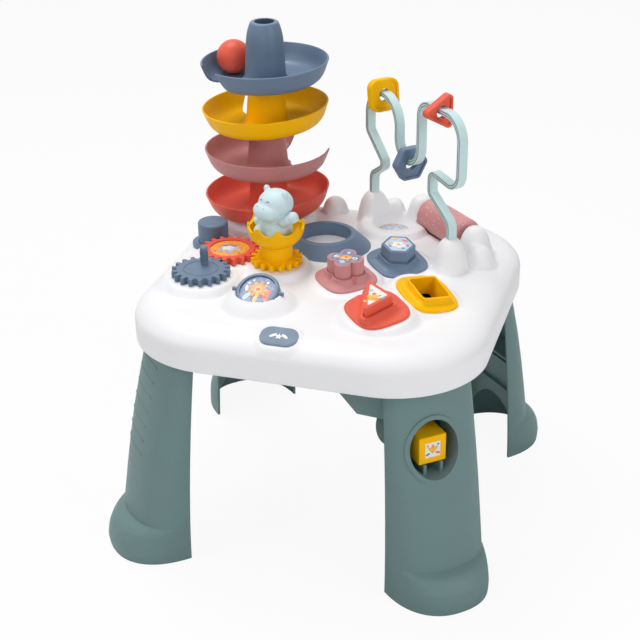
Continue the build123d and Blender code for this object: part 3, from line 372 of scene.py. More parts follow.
def cloud(x, y):
    """Height of the moulded top."""
    roll = np.clip(1 - inset_from_rim(x, y) / roll_wide, 0, 1)
    level = top_level - roll_deep * (1 - np.sqrt(np.maximum(1 - roll ** 2, 0)))
    for spot, reach, fall in lobes:
        level = soft_max(level, lobe_level - fall * past(away_from(spot, x, y) - reach, 3.0), 2.4)
    for spot, high, lean, bearing in sorter_pads.values():
        c, s = around(bearing)
        slope = high - math.tan(math.radians(lean)) * ((x - spot[0]) * c + (y - spot[1]) * s)
        level = soft_max(level, slope - 1.3 * past(away_from(spot, x, y) - pad_reach, 5.0), 3.0)
    away = away_from(tile_at, x, y)
    dome = tile_dome_level + np.sqrt(np.maximum(tile_dome_radius ** 2 - away ** 2, 0))
    level = soft_max(level, dome, 3.0)
    hump_foot = top_level - 6
    for spot, radius, high in humps:
        away = away_from(spot, x, y)
        share = np.clip(away / (1.16 * radius), 0, 1)
        cap = hump_foot + (high - hump_foot) * (1 - share ** 3.0) ** 0.56
        level = soft_max(level, cap - 30 * np.maximum(away / radius - 1.16, 0), 9.0)
    # the raised pad that carries the badge
    out_x, out_y = np.abs(x - badge_at[0]) - badge_half[0], np.abs(y - badge_at[1]) - badge_half[1]
    outside = np.hypot(np.maximum(out_x, 0), np.maximum(out_y, 0)) + np.minimum(np.maximum(out_x, out_y), 0)
    pad = badge_level + badge_slope * (y - badge_at[1]) - 2.2 * past(outside - 16.5, 2.0)
    level = soft_max(level, pad, 2.0)
    # seats cut into it: button flange, flip disc, ball well, roller
    level = soft_min(level, top_level + 4 * past(away_from(button_at, x, y) - button_seat, 1.0), 1.0)
    level = np.minimum(level, bowl(tile_level, seat_radius, away_from(tile_at, x, y)))
    away = away_from(well_at, x, y)
    well = well_floor + 1.5 * past(away - well_foot, 2.0) + 8.0 * np.maximum(away - well_mouth, 0)
    level = soft_min(level, well, 2.0)
    c, s = around(rail_bearing)
    along = (x - roller_at[0]) * c + (y - roller_at[1]) * s
    across = np.abs(-(x - roller_at[0]) * s + (y - roller_at[1]) * c)
    trough = bowl(roller_level, trough_radius, across) + seat_wall * np.maximum(np.abs(along) - trough_half, 0)
    return np.minimum(level, trough)


def in_opening(x, y):
    """Where the top is open: under the sorter lips, at the gear hubs and under the button."""
    triangle_sides, triangle_half, triangle_reach = (-34.0, 56.0, 191.0), 15.6, 33.0
    square_reach, round_hole = 29.0, 26.0
    open_here = away_from(button_at, x, y) < button_hole
    for spot in gear_hubs:
        open_here |= away_from(spot, x, y) < hub_hole
    for pad, (spot, _, _, _) in sorter_pads.items():
        if pad == "triangle":
            inside = away_from(spot, x, y) < triangle_reach
            for bearing in triangle_sides:
                c, s = around(bearing)
                inside &= (x - spot[0]) * c + (y - spot[1]) * s < triangle_half
        elif pad == "square":
            inside = np.abs(x - spot[0]) + np.abs(y - spot[1]) < square_reach
        else:
            inside = away_from(spot, x, y) < round_hole
        open_here |= inside
    return open_here


def moulded_top():
    count, roll_steps, seat_snap, wall_thick = 171, 12, 1.4, 3.0
    share = np.linspace(-1, 1, count)
    a, b = np.meshgrid(share, share, indexing="ij")
    ring = np.maximum(np.abs(a), np.abs(b))
    length = np.maximum(np.hypot(a, b), 1e-9)
    c, s = a / length, b / length
    reach = ring * ray_reach(c, s, top_half - roll_wide, top_corner - roll_wide)
    x, y = reach * c, reach * s
    # corners near the flip disc's seat go onto its edge
    away = np.maximum(away_from(tile_at, x, y), 1e-9)
    pull = np.where(np.abs(away - seat_radius) < seat_snap, seat_radius / away, 1.0)
    x, y = tile_at[0] + (x - tile_at[0]) * pull, tile_at[1] + (y - tile_at[1]) * pull
    points = [np.stack([x.ravel(), y.ravel(), cloud(x, y).ravel()], 1)]
    number = np.arange(count * count).reshape(count, count)
    quads = np.stack([number[:-1, :-1], number[1:, :-1], number[1:, 1:], number[:-1, 1:]], -1).reshape(-1, 4)
    faces = quads[~in_opening(x.ravel()[quads].mean(1), y.ravel()[quads].mean(1))].tolist()
    # rings down the rolled edge, then down the upright band to its turned-in lower edge
    loop = np.concatenate([number[:-1, 0], number[-1, :-1], number[:0:-1, -1], number[0, :0:-1]])
    c, s = c.ravel()[loop], s.ravel()[loop]
    rings = []
    for step in range(1, roll_steps + 1):
        inset = roll_wide * (1 - math.sin(math.pi / 2 * step / roll_steps))
        reach = ray_reach(c, s, top_half - inset, top_corner - inset)
        rings.append((reach * c, reach * s, cloud(reach * c, reach * s)))
    band_top = top_level - roll_deep
    for drop, inset in ((0.2, 0.0), (0.4, 0.0), (0.6, 0.0), (0.8, 0.0), (0.92, 0.0), (0.98, 0.4), (1.0, 1.4)):
        reach = ray_reach(c, s, top_half - inset, top_corner - inset)
        high = band_top - drop * (band_top - rim_bottom)
        rings.append((reach * c, reach * s, np.full(len(loop), high)))
    last = loop
    for x, y, z in rings:
        here = np.arange(len(loop)) + sum(len(rows) for rows in points)
        points.append(np.stack([x, y, z], 1))
        faces += np.stack([last, here, np.roll(here, -1), np.roll(last, -1)], -1).tolist()
        last = here
    made = piece("moulded_top", np.concatenate(points).tolist(), faces, [white], "table", ("top_shell",))
    reworked(made.data, lambda form: bmesh.ops.delete(
        form, geom=[corner for corner in form.verts if not corner.link_faces], context="VERTS"))
    wall = made.modifiers.new("wall", "SOLIDIFY")
    wall.thickness = wall_thick * mm
    wall.offset = -1.0


moulded_top()


# The legs' own lines: u runs outwards along the leg's bearing, v across it

leg_bearings = {"leg_front_left": -135.0, "leg_front_right": -45.0, "leg_back_right": 45.0, "leg_back_left": 135.0}
leg_high = 300.0
edge_foot, edge_drawn = 244.0, 23.0  # at the floor, and how much less at the top
outer_foot, outer_drawn = 309.0, 67.0
half_foot, half_drawn = 65.0, 7.0
flare_wide, flare_high = 18.0, 66.0
leg_roundness = 2 / 2.3
ankle_level, shaft_top, ankle_depth = 48.0, 205.0, 4.0
toe_level, toe_swell = 16.0, 21.5
toe_cuts = (4.0, 10.0, 16.0, 22.0, 28.0, 34.0, 39.0, 43.0, 46.0, 48.0, 53.0, 59.0, 66.0, 80.0, 100.0, 125.0, 160.0)
web_top, web_half = 147.2, 3.0
leg_wall = 3.2


def foot_flare(height):
    return flare_wide * max(0.0, 1 - (height / flare_high) ** 2)


def leg_edge(height):
    return edge_foot - edge_drawn * (height / leg_high) ** 1.6


def leg_half(height):
    return half_foot - half_drawn * height / leg_high


def leg_surface(height, turn):
    """A point of the leg's outer skin, as u and v."""
    outer = outer_foot - outer_drawn * (height / leg_high) ** 1.35 + foot_flare(height)
    along = abs(math.cos(turn)) ** leg_roundness
    across = math.copysign(abs(math.sin(turn)) ** leg_roundness, math.sin(turn))
    return leg_edge(height) + (outer - leg_edge(height)) * along, leg_half(height) * across


def from_leg(bearing, u, v, height):
    c, s = around(bearing)
    return (u * c - v * s, u * s + v * c, height)


# The nodes' own shapes with soft shading and finishes; legs, blue and pink trays are shaped further

def carved(form, points, faces):
    """The form less a closed solid."""
    body = linked("carved_body", bpy.data.meshes.new("carved_body"))
    tool = linked("carved_tool", bpy.data.meshes.new("carved_tool"))
    form.to_mesh(body.data)
    form.free()
    tool.data.from_pydata([Vector(point) * mm for point in points], [], faces)
    cut = body.modifiers.new("cut", "BOOLEAN")
    cut.operation = "DIFFERENCE"
    cut.solver = "EXACT"
    cut.object = tool
    left = bmesh.new()
    left.from_mesh(worked_out(body))
    bpy.data.objects.remove(tool)
    return left


def tray_bite():
    """The wide round bite in the pink tray's rim, through which the ball drops."""
    bearing, away, radius, low, high, count = 52.0, 71.0, 39.5, 380.0, 452.0, 64
    c, s = around(bearing)
    middle = (tower_at[0] + away * c, tower_at[1] + away * s)
    points = circle(middle, radius, low, count) + circle(middle, radius, high, count)
    return points, band(0, count, count) + [tuple(range(count - 1, -1, -1)), tuple(range(count, 2 * count))]


def leg_web_room(bearing):
    """The room of the plain web in the hollow leg's foot, where the arched panel stands instead."""
    near, steps, skin_left = 240.0, 24, 3.6
    points, faces = [], [(3, 2, 1, 0)]
    for high in [-1.0] + [web_top * step / steps for step in range(1, steps + 1)]:
        far = leg_surface(max(high, 0.0), 0.0)[0] - skin_left
        points += [from_leg(bearing, u, v, high)
                   for u, v in ((near, -web_half), (far, -web_half), (far, web_half), (near, web_half))]
    for ring in range(steps):
        faces += band(4 * ring, 4 * ring + 4, 4)
    return points, faces + [tuple(range(4 * steps, 4 * steps + 4))]


def sliced(form, levels):
    """Level cuts through a form, so that it can bend there."""
    for high in levels:
        bmesh.ops.bisect_plane(form, geom=form.verts[:] + form.edges[:] + form.faces[:], dist=1e-7,
                               plane_co=(0, 0, high * mm), plane_no=(0, 0, 1))


def rounded_shoulder(form):
    """The tower's tip draws in to a rounded shoulder with a smaller hole."""
    low, top, column_radius, bore_radius = 566.0, 599.0, 28.0, 20.5
    column_drawn, bore_drawn = 0.22, 0.30
    sliced(form, [low + (top - low) * share for share in (0.0, 0.2, 0.36, 0.5, 0.62, 0.73, 0.83, 0.91)])
    for corner in form.verts:
        rise = (corner.co.z / mm - low) / (top - low)
        x, y = corner.co.x / mm - tower_at[0], corner.co.y / mm - tower_at[1]
        away = math.hypot(x, y)
        if rise > 0 and away < column_radius:
            keep = 1 - (bore_drawn if away < bore_radius else column_drawn) * rise ** 2.6
            corner.co.x = (tower_at[0] + x * keep) * mm
            corner.co.y = (tower_at[1] + y * keep) * mm


def rounded_toe(form, bearing):
    """The leg's foot swells into a round toe under a drawn-in ankle."""
    sliced(form, toe_cuts)
    c, s = around(bearing)
    for corner in form.verts:
        high = max(corner.co.z / mm, 0.0)
        if high > shaft_top:
            continue
        rise = min(max((high - ankle_level) / (shaft_top - ankle_level), 0.0), 1.0)
        swell = -ankle_depth * (1 - rise * rise * (3 - 2 * rise)) - foot_flare(high)
        swell += toe_swell * math.sqrt(max(0.0, 1 - ((high - toe_level) / (ankle_level - toe_level)) ** 2))
        u = (corner.co.x * c + corner.co.y * s) / mm
        share = (u - leg_edge(high)) / (leg_surface(high, 0.0)[0] - leg_edge(high))
        share = min(max(share, 0.0), 1.0)
        corner.co.x += swell * share * c * mm
        corner.co.y += swell * share * s * mm


def dressed(node, materials, choose=None):
    """A merged copy of a node with soft shading, hard edges and its material."""
    hard_edge, weld = math.radians(32.0), 0.002 * mm
    form = bmesh.new()
    form.from_mesh(nodes[node].data)
    bmesh.ops.remove_doubles(form, verts=form.verts, dist=weld)
    if node == "tray_blue":
        rounded_shoulder(form)
    if node == "tray_pink":
        form = carved(form, *tray_bite())
    if node in leg_bearings:
        form = carved(form, *leg_web_room(leg_bearings[node]))
        rounded_toe(form, leg_bearings[node])
    for edge in form.edges:
        edge.smooth = len(edge.link_faces) == 2 and edge.calc_face_angle(0.0) < hard_edge
    mesh = bpy.data.meshes.new(node + "_dressed")
    form.to_mesh(mesh)
    form.free()
    indices = [choose(face.center / mm) for face in mesh.polygons] if choose else None
    mesh.materials.clear()
    made = settle(node + "_dressed", mesh, materials, nodes[node]["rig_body"], (node,), indices)
    even = made.modifiers.new("even normals", "WEIGHTED_NORMAL")
    even.keep_sharp = True


def in_groove(point):
    """The floors and walls of the rail's grooves lie a little inside its side faces."""
    groove_floor, side_face = 4.6, 5.6
    c, s = around(rail_bearing + 90)
    out = abs((point[0] - rail_start[0]) * c + (point[1] - rail_start[1]) * s)
    return 1 if groove_floor < out < side_face else 0


for slot, finish, node_names in (
        ("sage", sage, "leg_front_left leg_front_right leg_back_left leg_back_right block_chute button_guide"),
        ("slate", slate, "badge collar_hexagon block_hexagon crank_gear push_button button_collar tile_rim"),
        ("slate", slate, "ball_ring tray_blue bead_hexagon"),
        ("pink", pink, "collar_flower block_flower tray_pink"),
        ("pink", roller_pink, "roller"),
        ("coral", coral, "collar_triangle block_triangle label_gear tray_red bead_triangle ball"),
        ("yellow", yellow, "collar_square block_square crown_gear crown_cup tray_yellow bead_square"),
        ("grey_plastic", grey, "rail_wedges"),
        ("steel", steel, "leg_screws crank_hub_screw label_hub_screw crown_hub_screw button_spring roller_axle"),
        ("print", ink_orange, "gear_label"),
        ("print", film_slate, "tile_disc"),
        ("print", film_blue, "well_label")):
    for node in node_names.split():
        dressed(node, [finish])
dressed("rail", [mint, teal], choose=in_groove)


# Pieces that repeat or follow a line are grown with geometry nodes, then kept as plain meshes

def node_tree(name, sizes):
    """A new tree with an input for each named size, and the sockets that give them."""
    tree = bpy.data.node_groups.new(name, "GeometryNodeTree")
    tree.interface.new_socket("Geometry", in_out="INPUT", socket_type="NodeSocketGeometry")
    for label in sizes:
        tree.interface.new_socket(label, in_out="INPUT", socket_type="NodeSocketFloat")
    tree.interface.new_socket("Geometry", in_out="OUTPUT", socket_type="NodeSocketGeometry")
    return tree, add(tree, "NodeGroupInput").outputs


def grown(name, points, edges, tree, shape, sizes, material, body, smooth=True):
    """What a tree makes of points and edges, with its named sizes set; shape is the tree's last socket."""
    whole = add(tree, "GeometryNodeRealizeInstances", {0: shape})
    coat = add(tree, "GeometryNodeSetMaterial", {"Geometry": whole.outputs[0], "Material": material})
    add(tree, "NodeGroupOutput", {0: coat.outputs[0]})
    seed = bpy.data.meshes.new(name)
    seed.from_pydata([[value * mm for value in point] for point in points], edges, [])
    holder = linked(name + "_seed", seed)
    grow = holder.modifiers.new("grow", "NODES")
    grow.node_group = tree
    for item in tree.interface.items_tree:
        if item.in_out == "INPUT" and item.name in sizes:
            grow[item.identifier] = sizes[item.name] * mm
    mesh = worked_out(holder)
    mesh.materials.clear()
    settle(name, mesh, [material], body, smooth=smooth)


def bead_lines(name, lines, radius, material, body):
    """Round raised lines along rows of points."""
    points, edges = [], []
    for line in lines:
        edges += [(len(points) + at, len(points) + at + 1) for at in range(len(line) - 1)]
        points += line
    sizes = {"Line radius": radius}
    tree, given = node_tree(name, sizes)
    path = add(tree, "GeometryNodeMeshToCurve", {0: given["Geometry"]})
    round_edge = add(tree, "GeometryNodeCurvePrimitiveCircle", {"Resolution": 8, "Radius": given["Line radius"]})
    tube = add(tree, "GeometryNodeCurveToMesh", {
        "Curve": path.outputs[0], "Profile Curve": round_edge.outputs[0], "Fill Caps": True})
    grown(name, points, edges, tree, tube.outputs[0], sizes, material, body)


def studs(name, places, foot, tip, height, material, sides=14):
    """Short tapered round studs that stand on the table at the given points."""
    sizes = {"Foot radius": foot, "Tip radius": tip, "Height": height}
    tree, given = node_tree(name, sizes)
    cone = add(tree, "GeometryNodeMeshCone", {
        "Vertices": sides, "Radius Top": given["Tip radius"], "Radius Bottom": given["Foot radius"],
        "Depth": given["Height"]})
    stand = add(tree, "GeometryNodeInstanceOnPoints", {"Points": given["Geometry"], "Instance": cone.outputs[0]})
    grown(name, places, [], tree, stand.outputs[0], sizes, material, "table", smooth=False)


# Legs: raised lines on the front left one, and the arched inner panels with their stiffening shelves

def grip_lines():
    bearing = leg_bearings["leg_front_left"]
    skin = skin_of(bpy.data.objects["leg_front_left_dressed"].data)
    rows, steps, sunk = 7, 12, 1.2
    first_high, spacing, slant, first_turn, sweep, leg_core = 258.0, 19.0, 5.0, -34.0, 46.0, 225.0
    lines = []
    for row in range(rows):
        line = []
        for share in (step / steps for step in range(steps + 1)):
            high = first_high - spacing * row - slant * share
            u, v = leg_surface(high, math.radians(first_turn + sweep * share))
            out = Vector(from_leg(bearing, u - leg_core, v, 0.0)).normalized()
            start = Vector(from_leg(bearing, u, v, high)) + out * 20.0
            line.append(skin.ray_cast(start * mm, -out)[0] / mm - out * sunk)
        lines.append(line)
    bead_lines("leg_grip_lines", lines, 2.0, sage, "table")


def leg_panel(name, bearing):
    """A panel across the hollow leg with an arched foot, and two shelves in front of it."""
    across_steps, up_steps = 24, 10
    arch_top, arch_deep, panel_top, panel_in, panel_thick = 70.0, 50.0, 147.5, 18.0, 2.4
    shelf_near, shelf_far, shelf_thick = 12.5, 18.4, 2.2
    shares = [-0.98 + 1.96 * step / across_steps for step in range(across_steps + 1)]
    points, faces = [], []
    for side in (0.0, panel_thick):
        for share in shares:
            low = arch_top - arch_deep * abs(share) ** 2.2
            for up in range(up_steps + 1):
                high = low + (panel_top - low) * up / up_steps
                points.append(from_leg(bearing, leg_edge(high) + panel_in + side,
                                       share * (leg_half(high) - leg_wall), high))
    row = up_steps + 1
    layer = row * (across_steps + 1)
    last = across_steps * row
    for step in range(across_steps):
        a, b = step * row, (step + 1) * row
        for k in range(up_steps):
            faces += [(a + k, a + k + 1, b + k + 1, b + k),
                      (layer + a + k, layer + b + k, layer + b + k + 1, layer + a + k + 1)]
        a_top, b_top = a + up_steps, b + up_steps
        faces += [(a, b, layer + b, layer + a), (a_top, layer + a_top, layer + b_top, b_top)]
    for up in range(up_steps):
        faces += [(up, layer + up, layer + up + 1, up + 1),
                  (last + up, last + up + 1, layer + last + up + 1, layer + last + up)]
    for low in (92.0, 136.0):
        base = len(points)
        high = low + shelf_thick
        for share in shares:
            points += [from_leg(bearing, leg_edge(low) + u, share * (leg_half(low) - leg_wall), z) for u, z in
                       ((shelf_near, low), (shelf_far, low), (shelf_far, high), (shelf_near, high))]
        end = base + 4 * across_steps
        for ring in range(base, end, 4):
            faces += band(ring, ring + 4, 4)
        faces += [(base + 3, base + 2, base + 1, base), (end, end + 1, end + 2, end + 3)]
    made = piece(name, points, faces, [sage], "table", smooth=False)
    reworked(made.data, lambda form: bmesh.ops.recalc_face_normals(form, faces=form.faces))


def pocket_back():
    """The cradle behind the leg's opening: a trough that goes on from the sleeve, with an end wall, in a darker sage
    that is painted shade inside the pocket.
    """
    bearing, middle, level, wall_level = leg_bearings["leg_front_right"], -13.0, 203.0, 220.0
    first, sweep, count, slack = 152.0, 236.0, 28, 0.01 * mm
    # u, half width and half height of each ring, out along the outside and back along the inside
    rings = ((233.0, 33.2, 38.2), (188.0, 33.2, 38.2), (185.5, 30.0, 35.0), (185.5, 0.0, 0.0),
             (188.0, 0.0, 0.0), (188.0, 31.0, 36.0), (233.0, 31.0, 36.0))
    form = bmesh.new()
    corners = []
    for u, half, high in rings:
        for c, s in (around(first + sweep * step / count) for step in range(count + 1)):
            spot = from_leg(bearing, u, middle + half * c, level + high * s if half else wall_level)
            corners.append(form.verts.new(Vector(spot) * mm))
    row = count + 1
    for ring in range(len(rings)):
        a, b = ring * row, (ring + 1) % len(rings) * row
        for k in range(count):
            form.faces.new([corners[at] for at in (a + k, b + k, b + k + 1, a + k + 1)])
    bmesh.ops.remove_doubles(form, verts=form.verts, dist=slack)
    bmesh.ops.dissolve_degenerate(form, edges=form.edges, dist=slack)
    bmesh.ops.holes_fill(form, edges=[edge for edge in form.edges if edge.is_boundary])
    bmesh.ops.recalc_face_normals(form, faces=form.faces)
    mesh = bpy.data.meshes.new("pocket_cradle")
    form.to_mesh(mesh)
    form.free()
    # the cradle is in the darker sage: painted shade inside the pocket
    settle("pocket_cradle", mesh, [sage_painted_shade], "table", smooth=False)


grip_lines()
for node, bearing in leg_bearings.items():
    leg_panel(node + "_panel", bearing)
pocket_back()


# Printed labels: thin films on the flat faces, with simple leaves, dots, stars and clouds

def outline_shape(kind):
    """A motif's outline, about one unit from its middle."""
    if kind == "leaf":
        run = [math.pi * step / 8 for step in range(9)]
        upper = [(-math.cos(t), 0.40 * math.sin(t)) for t in run]
        return upper + [(math.cos(t), -0.40 * math.sin(t)) for t in run[1:-1]]
    if kind == "star":
        return [((0.45 if k % 2 else 1.0) * around(36 * k + 90)[0], (0.45 if k % 2 else 1.0) * around(36 * k + 90)[1])
                for k in range(10)]
    if kind == "cloud":
        return [((0.86 + 0.14 * math.cos(5 * t)) * math.cos(t), (0.72 + 0.14 * math.cos(5 * t)) * math.sin(t))
                for t in (2 * math.pi * k / 40 for k in range(40))]
    return [around(20 * k) for k in range(18)]


def flat_face(node, direction):
    """Centre, axes and outline of a node's outermost flat face towards a direction."""
    same_way, slack = 0.999, 0.05 * mm
    mesh = nodes[node].data
    far = max(corner.co.dot(direction) for corner in mesh.vertices)
    found = {}
    for face in mesh.polygons:
        if face.normal.dot(direction) > same_way:
            for at in face.vertices:
                spot = mesh.vertices[at].co
                if spot.dot(direction) > far - slack:
                    found[tuple(round(value / mm, 1) for value in spot)] = spot / mm
    flat = Vector((0.0, 0.0, 1.0)) if abs(direction.z) < 0.7 else Vector((0.0, 1.0, 0.0))
    up = (flat - direction * flat.dot(direction)).normalized()
    right = up.cross(direction)
    plane = [(point.dot(right), point.dot(up)) for point in found.values()]
    middle = [(max(p[k] for p in plane) + min(p[k] for p in plane)) / 2 for k in range(2)]
    local = [(p[0] - middle[0], p[1] - middle[1]) for p in plane]
    local.sort(key=lambda p: math.atan2(p[1], p[0]))
    centre = right * middle[0] + up * middle[1] + direction * (far / mm)
    return centre, right, up, local


def sticker(name, node, direction, share, films, motifs):
    """A film on a flat face; each motif is kind, place and size as shares of the film's reach, turn, film number."""
    film_low, film_high, motif_low, motif_step = 0.02, 0.20, 0.15, 0.03
    direction = Vector(direction).normalized()
    centre, right, up, outline = flat_face(node, direction)
    reach = max(math.hypot(*p) for p in outline) * share
    layers = [([(x * share, y * share) for x, y in outline], 0)]
    for kind, across, along, size, turn, number in motifs:
        c, s = around(turn)
        layers.append(([(reach * (across + size * (x * c - y * s)), reach * (along + size * (x * s + y * c)))
                        for x, y in outline_shape(kind)], number))
    points, faces, indices = [], [], []
    for at, (shape, number) in enumerate(layers):
        low, high = (motif_low, film_high + 0.01 + motif_step * at) if at else (film_low, film_high)
        base, count = len(points), len(shape)
        for level in (low, high):
            points += [centre + right * x + up * y + direction * level for x, y in shape]
        faces += [tuple(range(base + count, base + 2 * count)), tuple(range(base + count - 1, base - 1, -1))]
        faces += band(base, base + count, count)
        indices += [number] * (count + 2)
    piece(name, points, faces, films, nodes[node]["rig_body"], indices=indices, smooth=False)


def pad_up(pad):
    """The direction that a sorter pad and its block face."""
    _, _, lean, bearing = sorter_pads[pad]
    c, s = around(bearing)
    rise, tilt = around(lean)
    return (tilt * c, tilt * s, rise)


sticker("flower_label", "block_flower", pad_up("flower"), 0.86,
        [film_slate, ink_orange, ink_tan, film_white, ink_coral, film_blue],
        [("leaf", -0.10, 0.05, 0.42, 20, 1), ("leaf", 0.10, 0.15, 0.36, -15, 1), ("leaf", 0.02, -0.12, 0.34, 10, 2),
         ("dot", -0.62, 0.02, 0.17, 0, 3), ("leaf", -0.60, 0.02, 0.14, 60, 1), ("dot", 0.64, -0.02, 0.17, 0, 3),
         ("leaf", 0.64, -0.02, 0.15, 80, 4), ("dot", -0.05, -0.62, 0.19, 0, 5), ("star", 0.05, 0.62, 0.15, 0, 3),
         ("dot", 0.22, -0.36, 0.09, 0, 1), ("star", 0.05, 0.0, 0.13, 0, 4)])
sticker("hexagon_label", "block_hexagon", pad_up("hexagon"), 0.86,
        [film_blue, ink_amber, ink_coral, film_white, film_slate],
        [("cloud", 0.0, -0.08, 0.52, 0, 3), ("leaf", -0.40, 0.58, 0.26, 15, 1), ("leaf", 0.34, 0.60, 0.26, -12, 2),
         ("dot", 0.68, 0.02, 0.12, 0, 2), ("dot", -0.70, -0.05, 0.10, 0, 1), ("leaf", -0.52, -0.44, 0.18, -40, 4),
         ("star", 0.0, -0.06, 0.20, 0, 1), ("dot", 0.46, -0.46, 0.09, 0, 4)])
sticker("triangle_label", "block_triangle", pad_up("triangle"), 0.74,
        [film_white, ink_amber, ink_orange, film_slate, ink_lilac, ink_coral],
        [("leaf", -0.12, -0.12, 0.34, 15, 1), ("leaf", -0.02, -0.34, 0.36, 8, 2), ("leaf", 0.36, -0.20, 0.20, 45, 3),
         ("dot", -0.34, 0.36, 0.12, 0, 4), ("star", -0.12, 0.10, 0.16, 0, 5), ("dot", -0.40, -0.62, 0.10, 0, 1),
         ("dot", 0.20, 0.02, 0.07, 0, 2)])
cube_bearing = -49.0
sticker("cube_label", "block_square", (*around(cube_bearing), 0.0), 0.60,
        [film_white, ink_orange, ink_amber, film_slate, ink_coral],
        [("leaf", 0.0, 0.10, 0.42, 90, 1), ("leaf", -0.22, 0.05, 0.36, 130, 2), ("leaf", 0.22, 0.05, 0.36, 50, 2),
         ("leaf", -0.48, -0.38, 0.24, 20, 3), ("leaf", 0.48, -0.36, 0.24, -20, 4), ("dot", 0.0, -0.20, 0.16, 0, 1),
         ("dot", -0.50, 0.46, 0.09, 0, 4), ("dot", 0.50, 0.46, 0.09, 0, 3)])
sticker("gear_print", "gear_label", (0, 0, 1), 0.97,
        [ink_orange, ink_amber, ink_lilac, film_white, film_slate, ink_coral],
        [("dot", 0.0, 0.0, 0.80, 0, 1), ("dot", 0.0, 0.0, 0.74, 0, 0), ("cloud", 0.0, -0.04, 0.62, 0, 2),
         ("cloud", -0.12, 0.06, 0.34, 20, 3), ("leaf", -0.30, 0.36, 0.22, 30, 4), ("leaf", 0.05, 0.42, 0.20, -10, 4),
         ("star", 0.30, -0.16, 0.17, 0, 1), ("dot", 0.66, -0.42, 0.09, 0, 5), ("dot", -0.64, -0.44, 0.09, 0, 5)])

# the flip disc shows a flower among leaves on both its faces
petals = [("leaf", 0.30 * around(40 * k)[0], 0.08 + 0.30 * around(40 * k)[1], 0.30, 40 * k, 1) for k in range(9)]
disc_motifs = ([("leaf", -0.55, -0.48, 0.36, 60, 5), ("leaf", 0.56, -0.40, 0.40, 115, 3),
                ("leaf", 0.66, -0.10, 0.28, 75, 3), ("leaf", -0.68, 0.10, 0.24, 100, 6)] + petals +
               [("dot", 0.0, 0.08, 0.24, 0, 4), ("dot", 0.0, 0.08, 0.13, 0, 2), ("leaf", 0.0, -0.62, 0.28, 90, 4),
                ("dot", 0.42, 0.60, 0.08, 0, 6), ("dot", -0.40, 0.66, 0.07, 0, 6), ("star", -0.62, 0.44, 0.11, 0, 6)])
disc_faces = sorted(nodes["tile_disc"].data.polygons, key=lambda face: -face.area)
disc_up = max((face.normal for face in disc_faces[:40]), key=lambda normal: normal.z).copy()
for side, direction in (("front", disc_up), ("back", -disc_up)):
    sticker("disc_print_" + side, "tile_disc", direction, 0.97,
            [film_slate, ink_orange, ink_brown, ink_coral, ink_tan, film_blue, film_white], disc_motifs)

well_ring_radius = 18.4
well_ring = circle(well_at, well_ring_radius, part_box("well_label")[1].z / mm, 24)
studs("well_dots_orange", well_ring[::2], 1.7, 1.6, 0.22, ink_orange)
studs("well_dots_amber", well_ring[1::2], 1.3, 1.2, 0.22, ink_amber)
sticker("well_print", "well_label", (0, 0, 1), 0.72, [film_blue, film_white, ink_lilac],
        [("cloud", 0.0, 0.0, 0.7, 0, 1), ("leaf", -0.3, 0.1, 0.3, 30, 2), ("star", 0.3, -0.1, 0.2, 0, 2)])

badge_up = max(nodes["badge"].data.polygons, key=lambda face: face.area * (face.normal.z > 0.5)).normal.copy()
sticker("badge_print", "badge", badge_up, 0.90, [slate, film_white],
        [("leaf", -0.34, 0.02, 0.24, 35, 1), ("star", 0.0, -0.04, 0.24, 0, 1), ("leaf", 0.34, 0.02, 0.24, -35, 1)])


# Gears: a raised ring on the crank's face, a rim round the label, and bosses under the hubs

crank_ring_radius, clear_above, label_rim_out, boss_level = 21.5, 420.0, 1.9, 321.2
crank_skin = skin_of(nodes["crank_gear"].data)
above_crank = circle(crank_at, crank_ring_radius, clear_above, 48, closed=True)
crank_ring = [crank_skin.ray_cast(Vector(spot) * mm, Vector((0, 0, -1)))[0] / mm for spot in above_crank]
bead_lines("crank_ridges", [crank_ring], 0.7, slate, "crank")
label_low, label_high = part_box("gear_label")
rim_radius = (label_high.x - label_low.x) / 2 / mm + label_rim_out
label_rim = circle(label_gear_at, rim_radius, label_high.z / mm, 48, closed=True)
bead_lines("label_gear_rim", [label_rim], 1.8, coral, "label")
studs("hub_bosses", [(*spot, boss_level) for spot in gear_hubs], 15.0, 13.0, 0.6, white, 32)


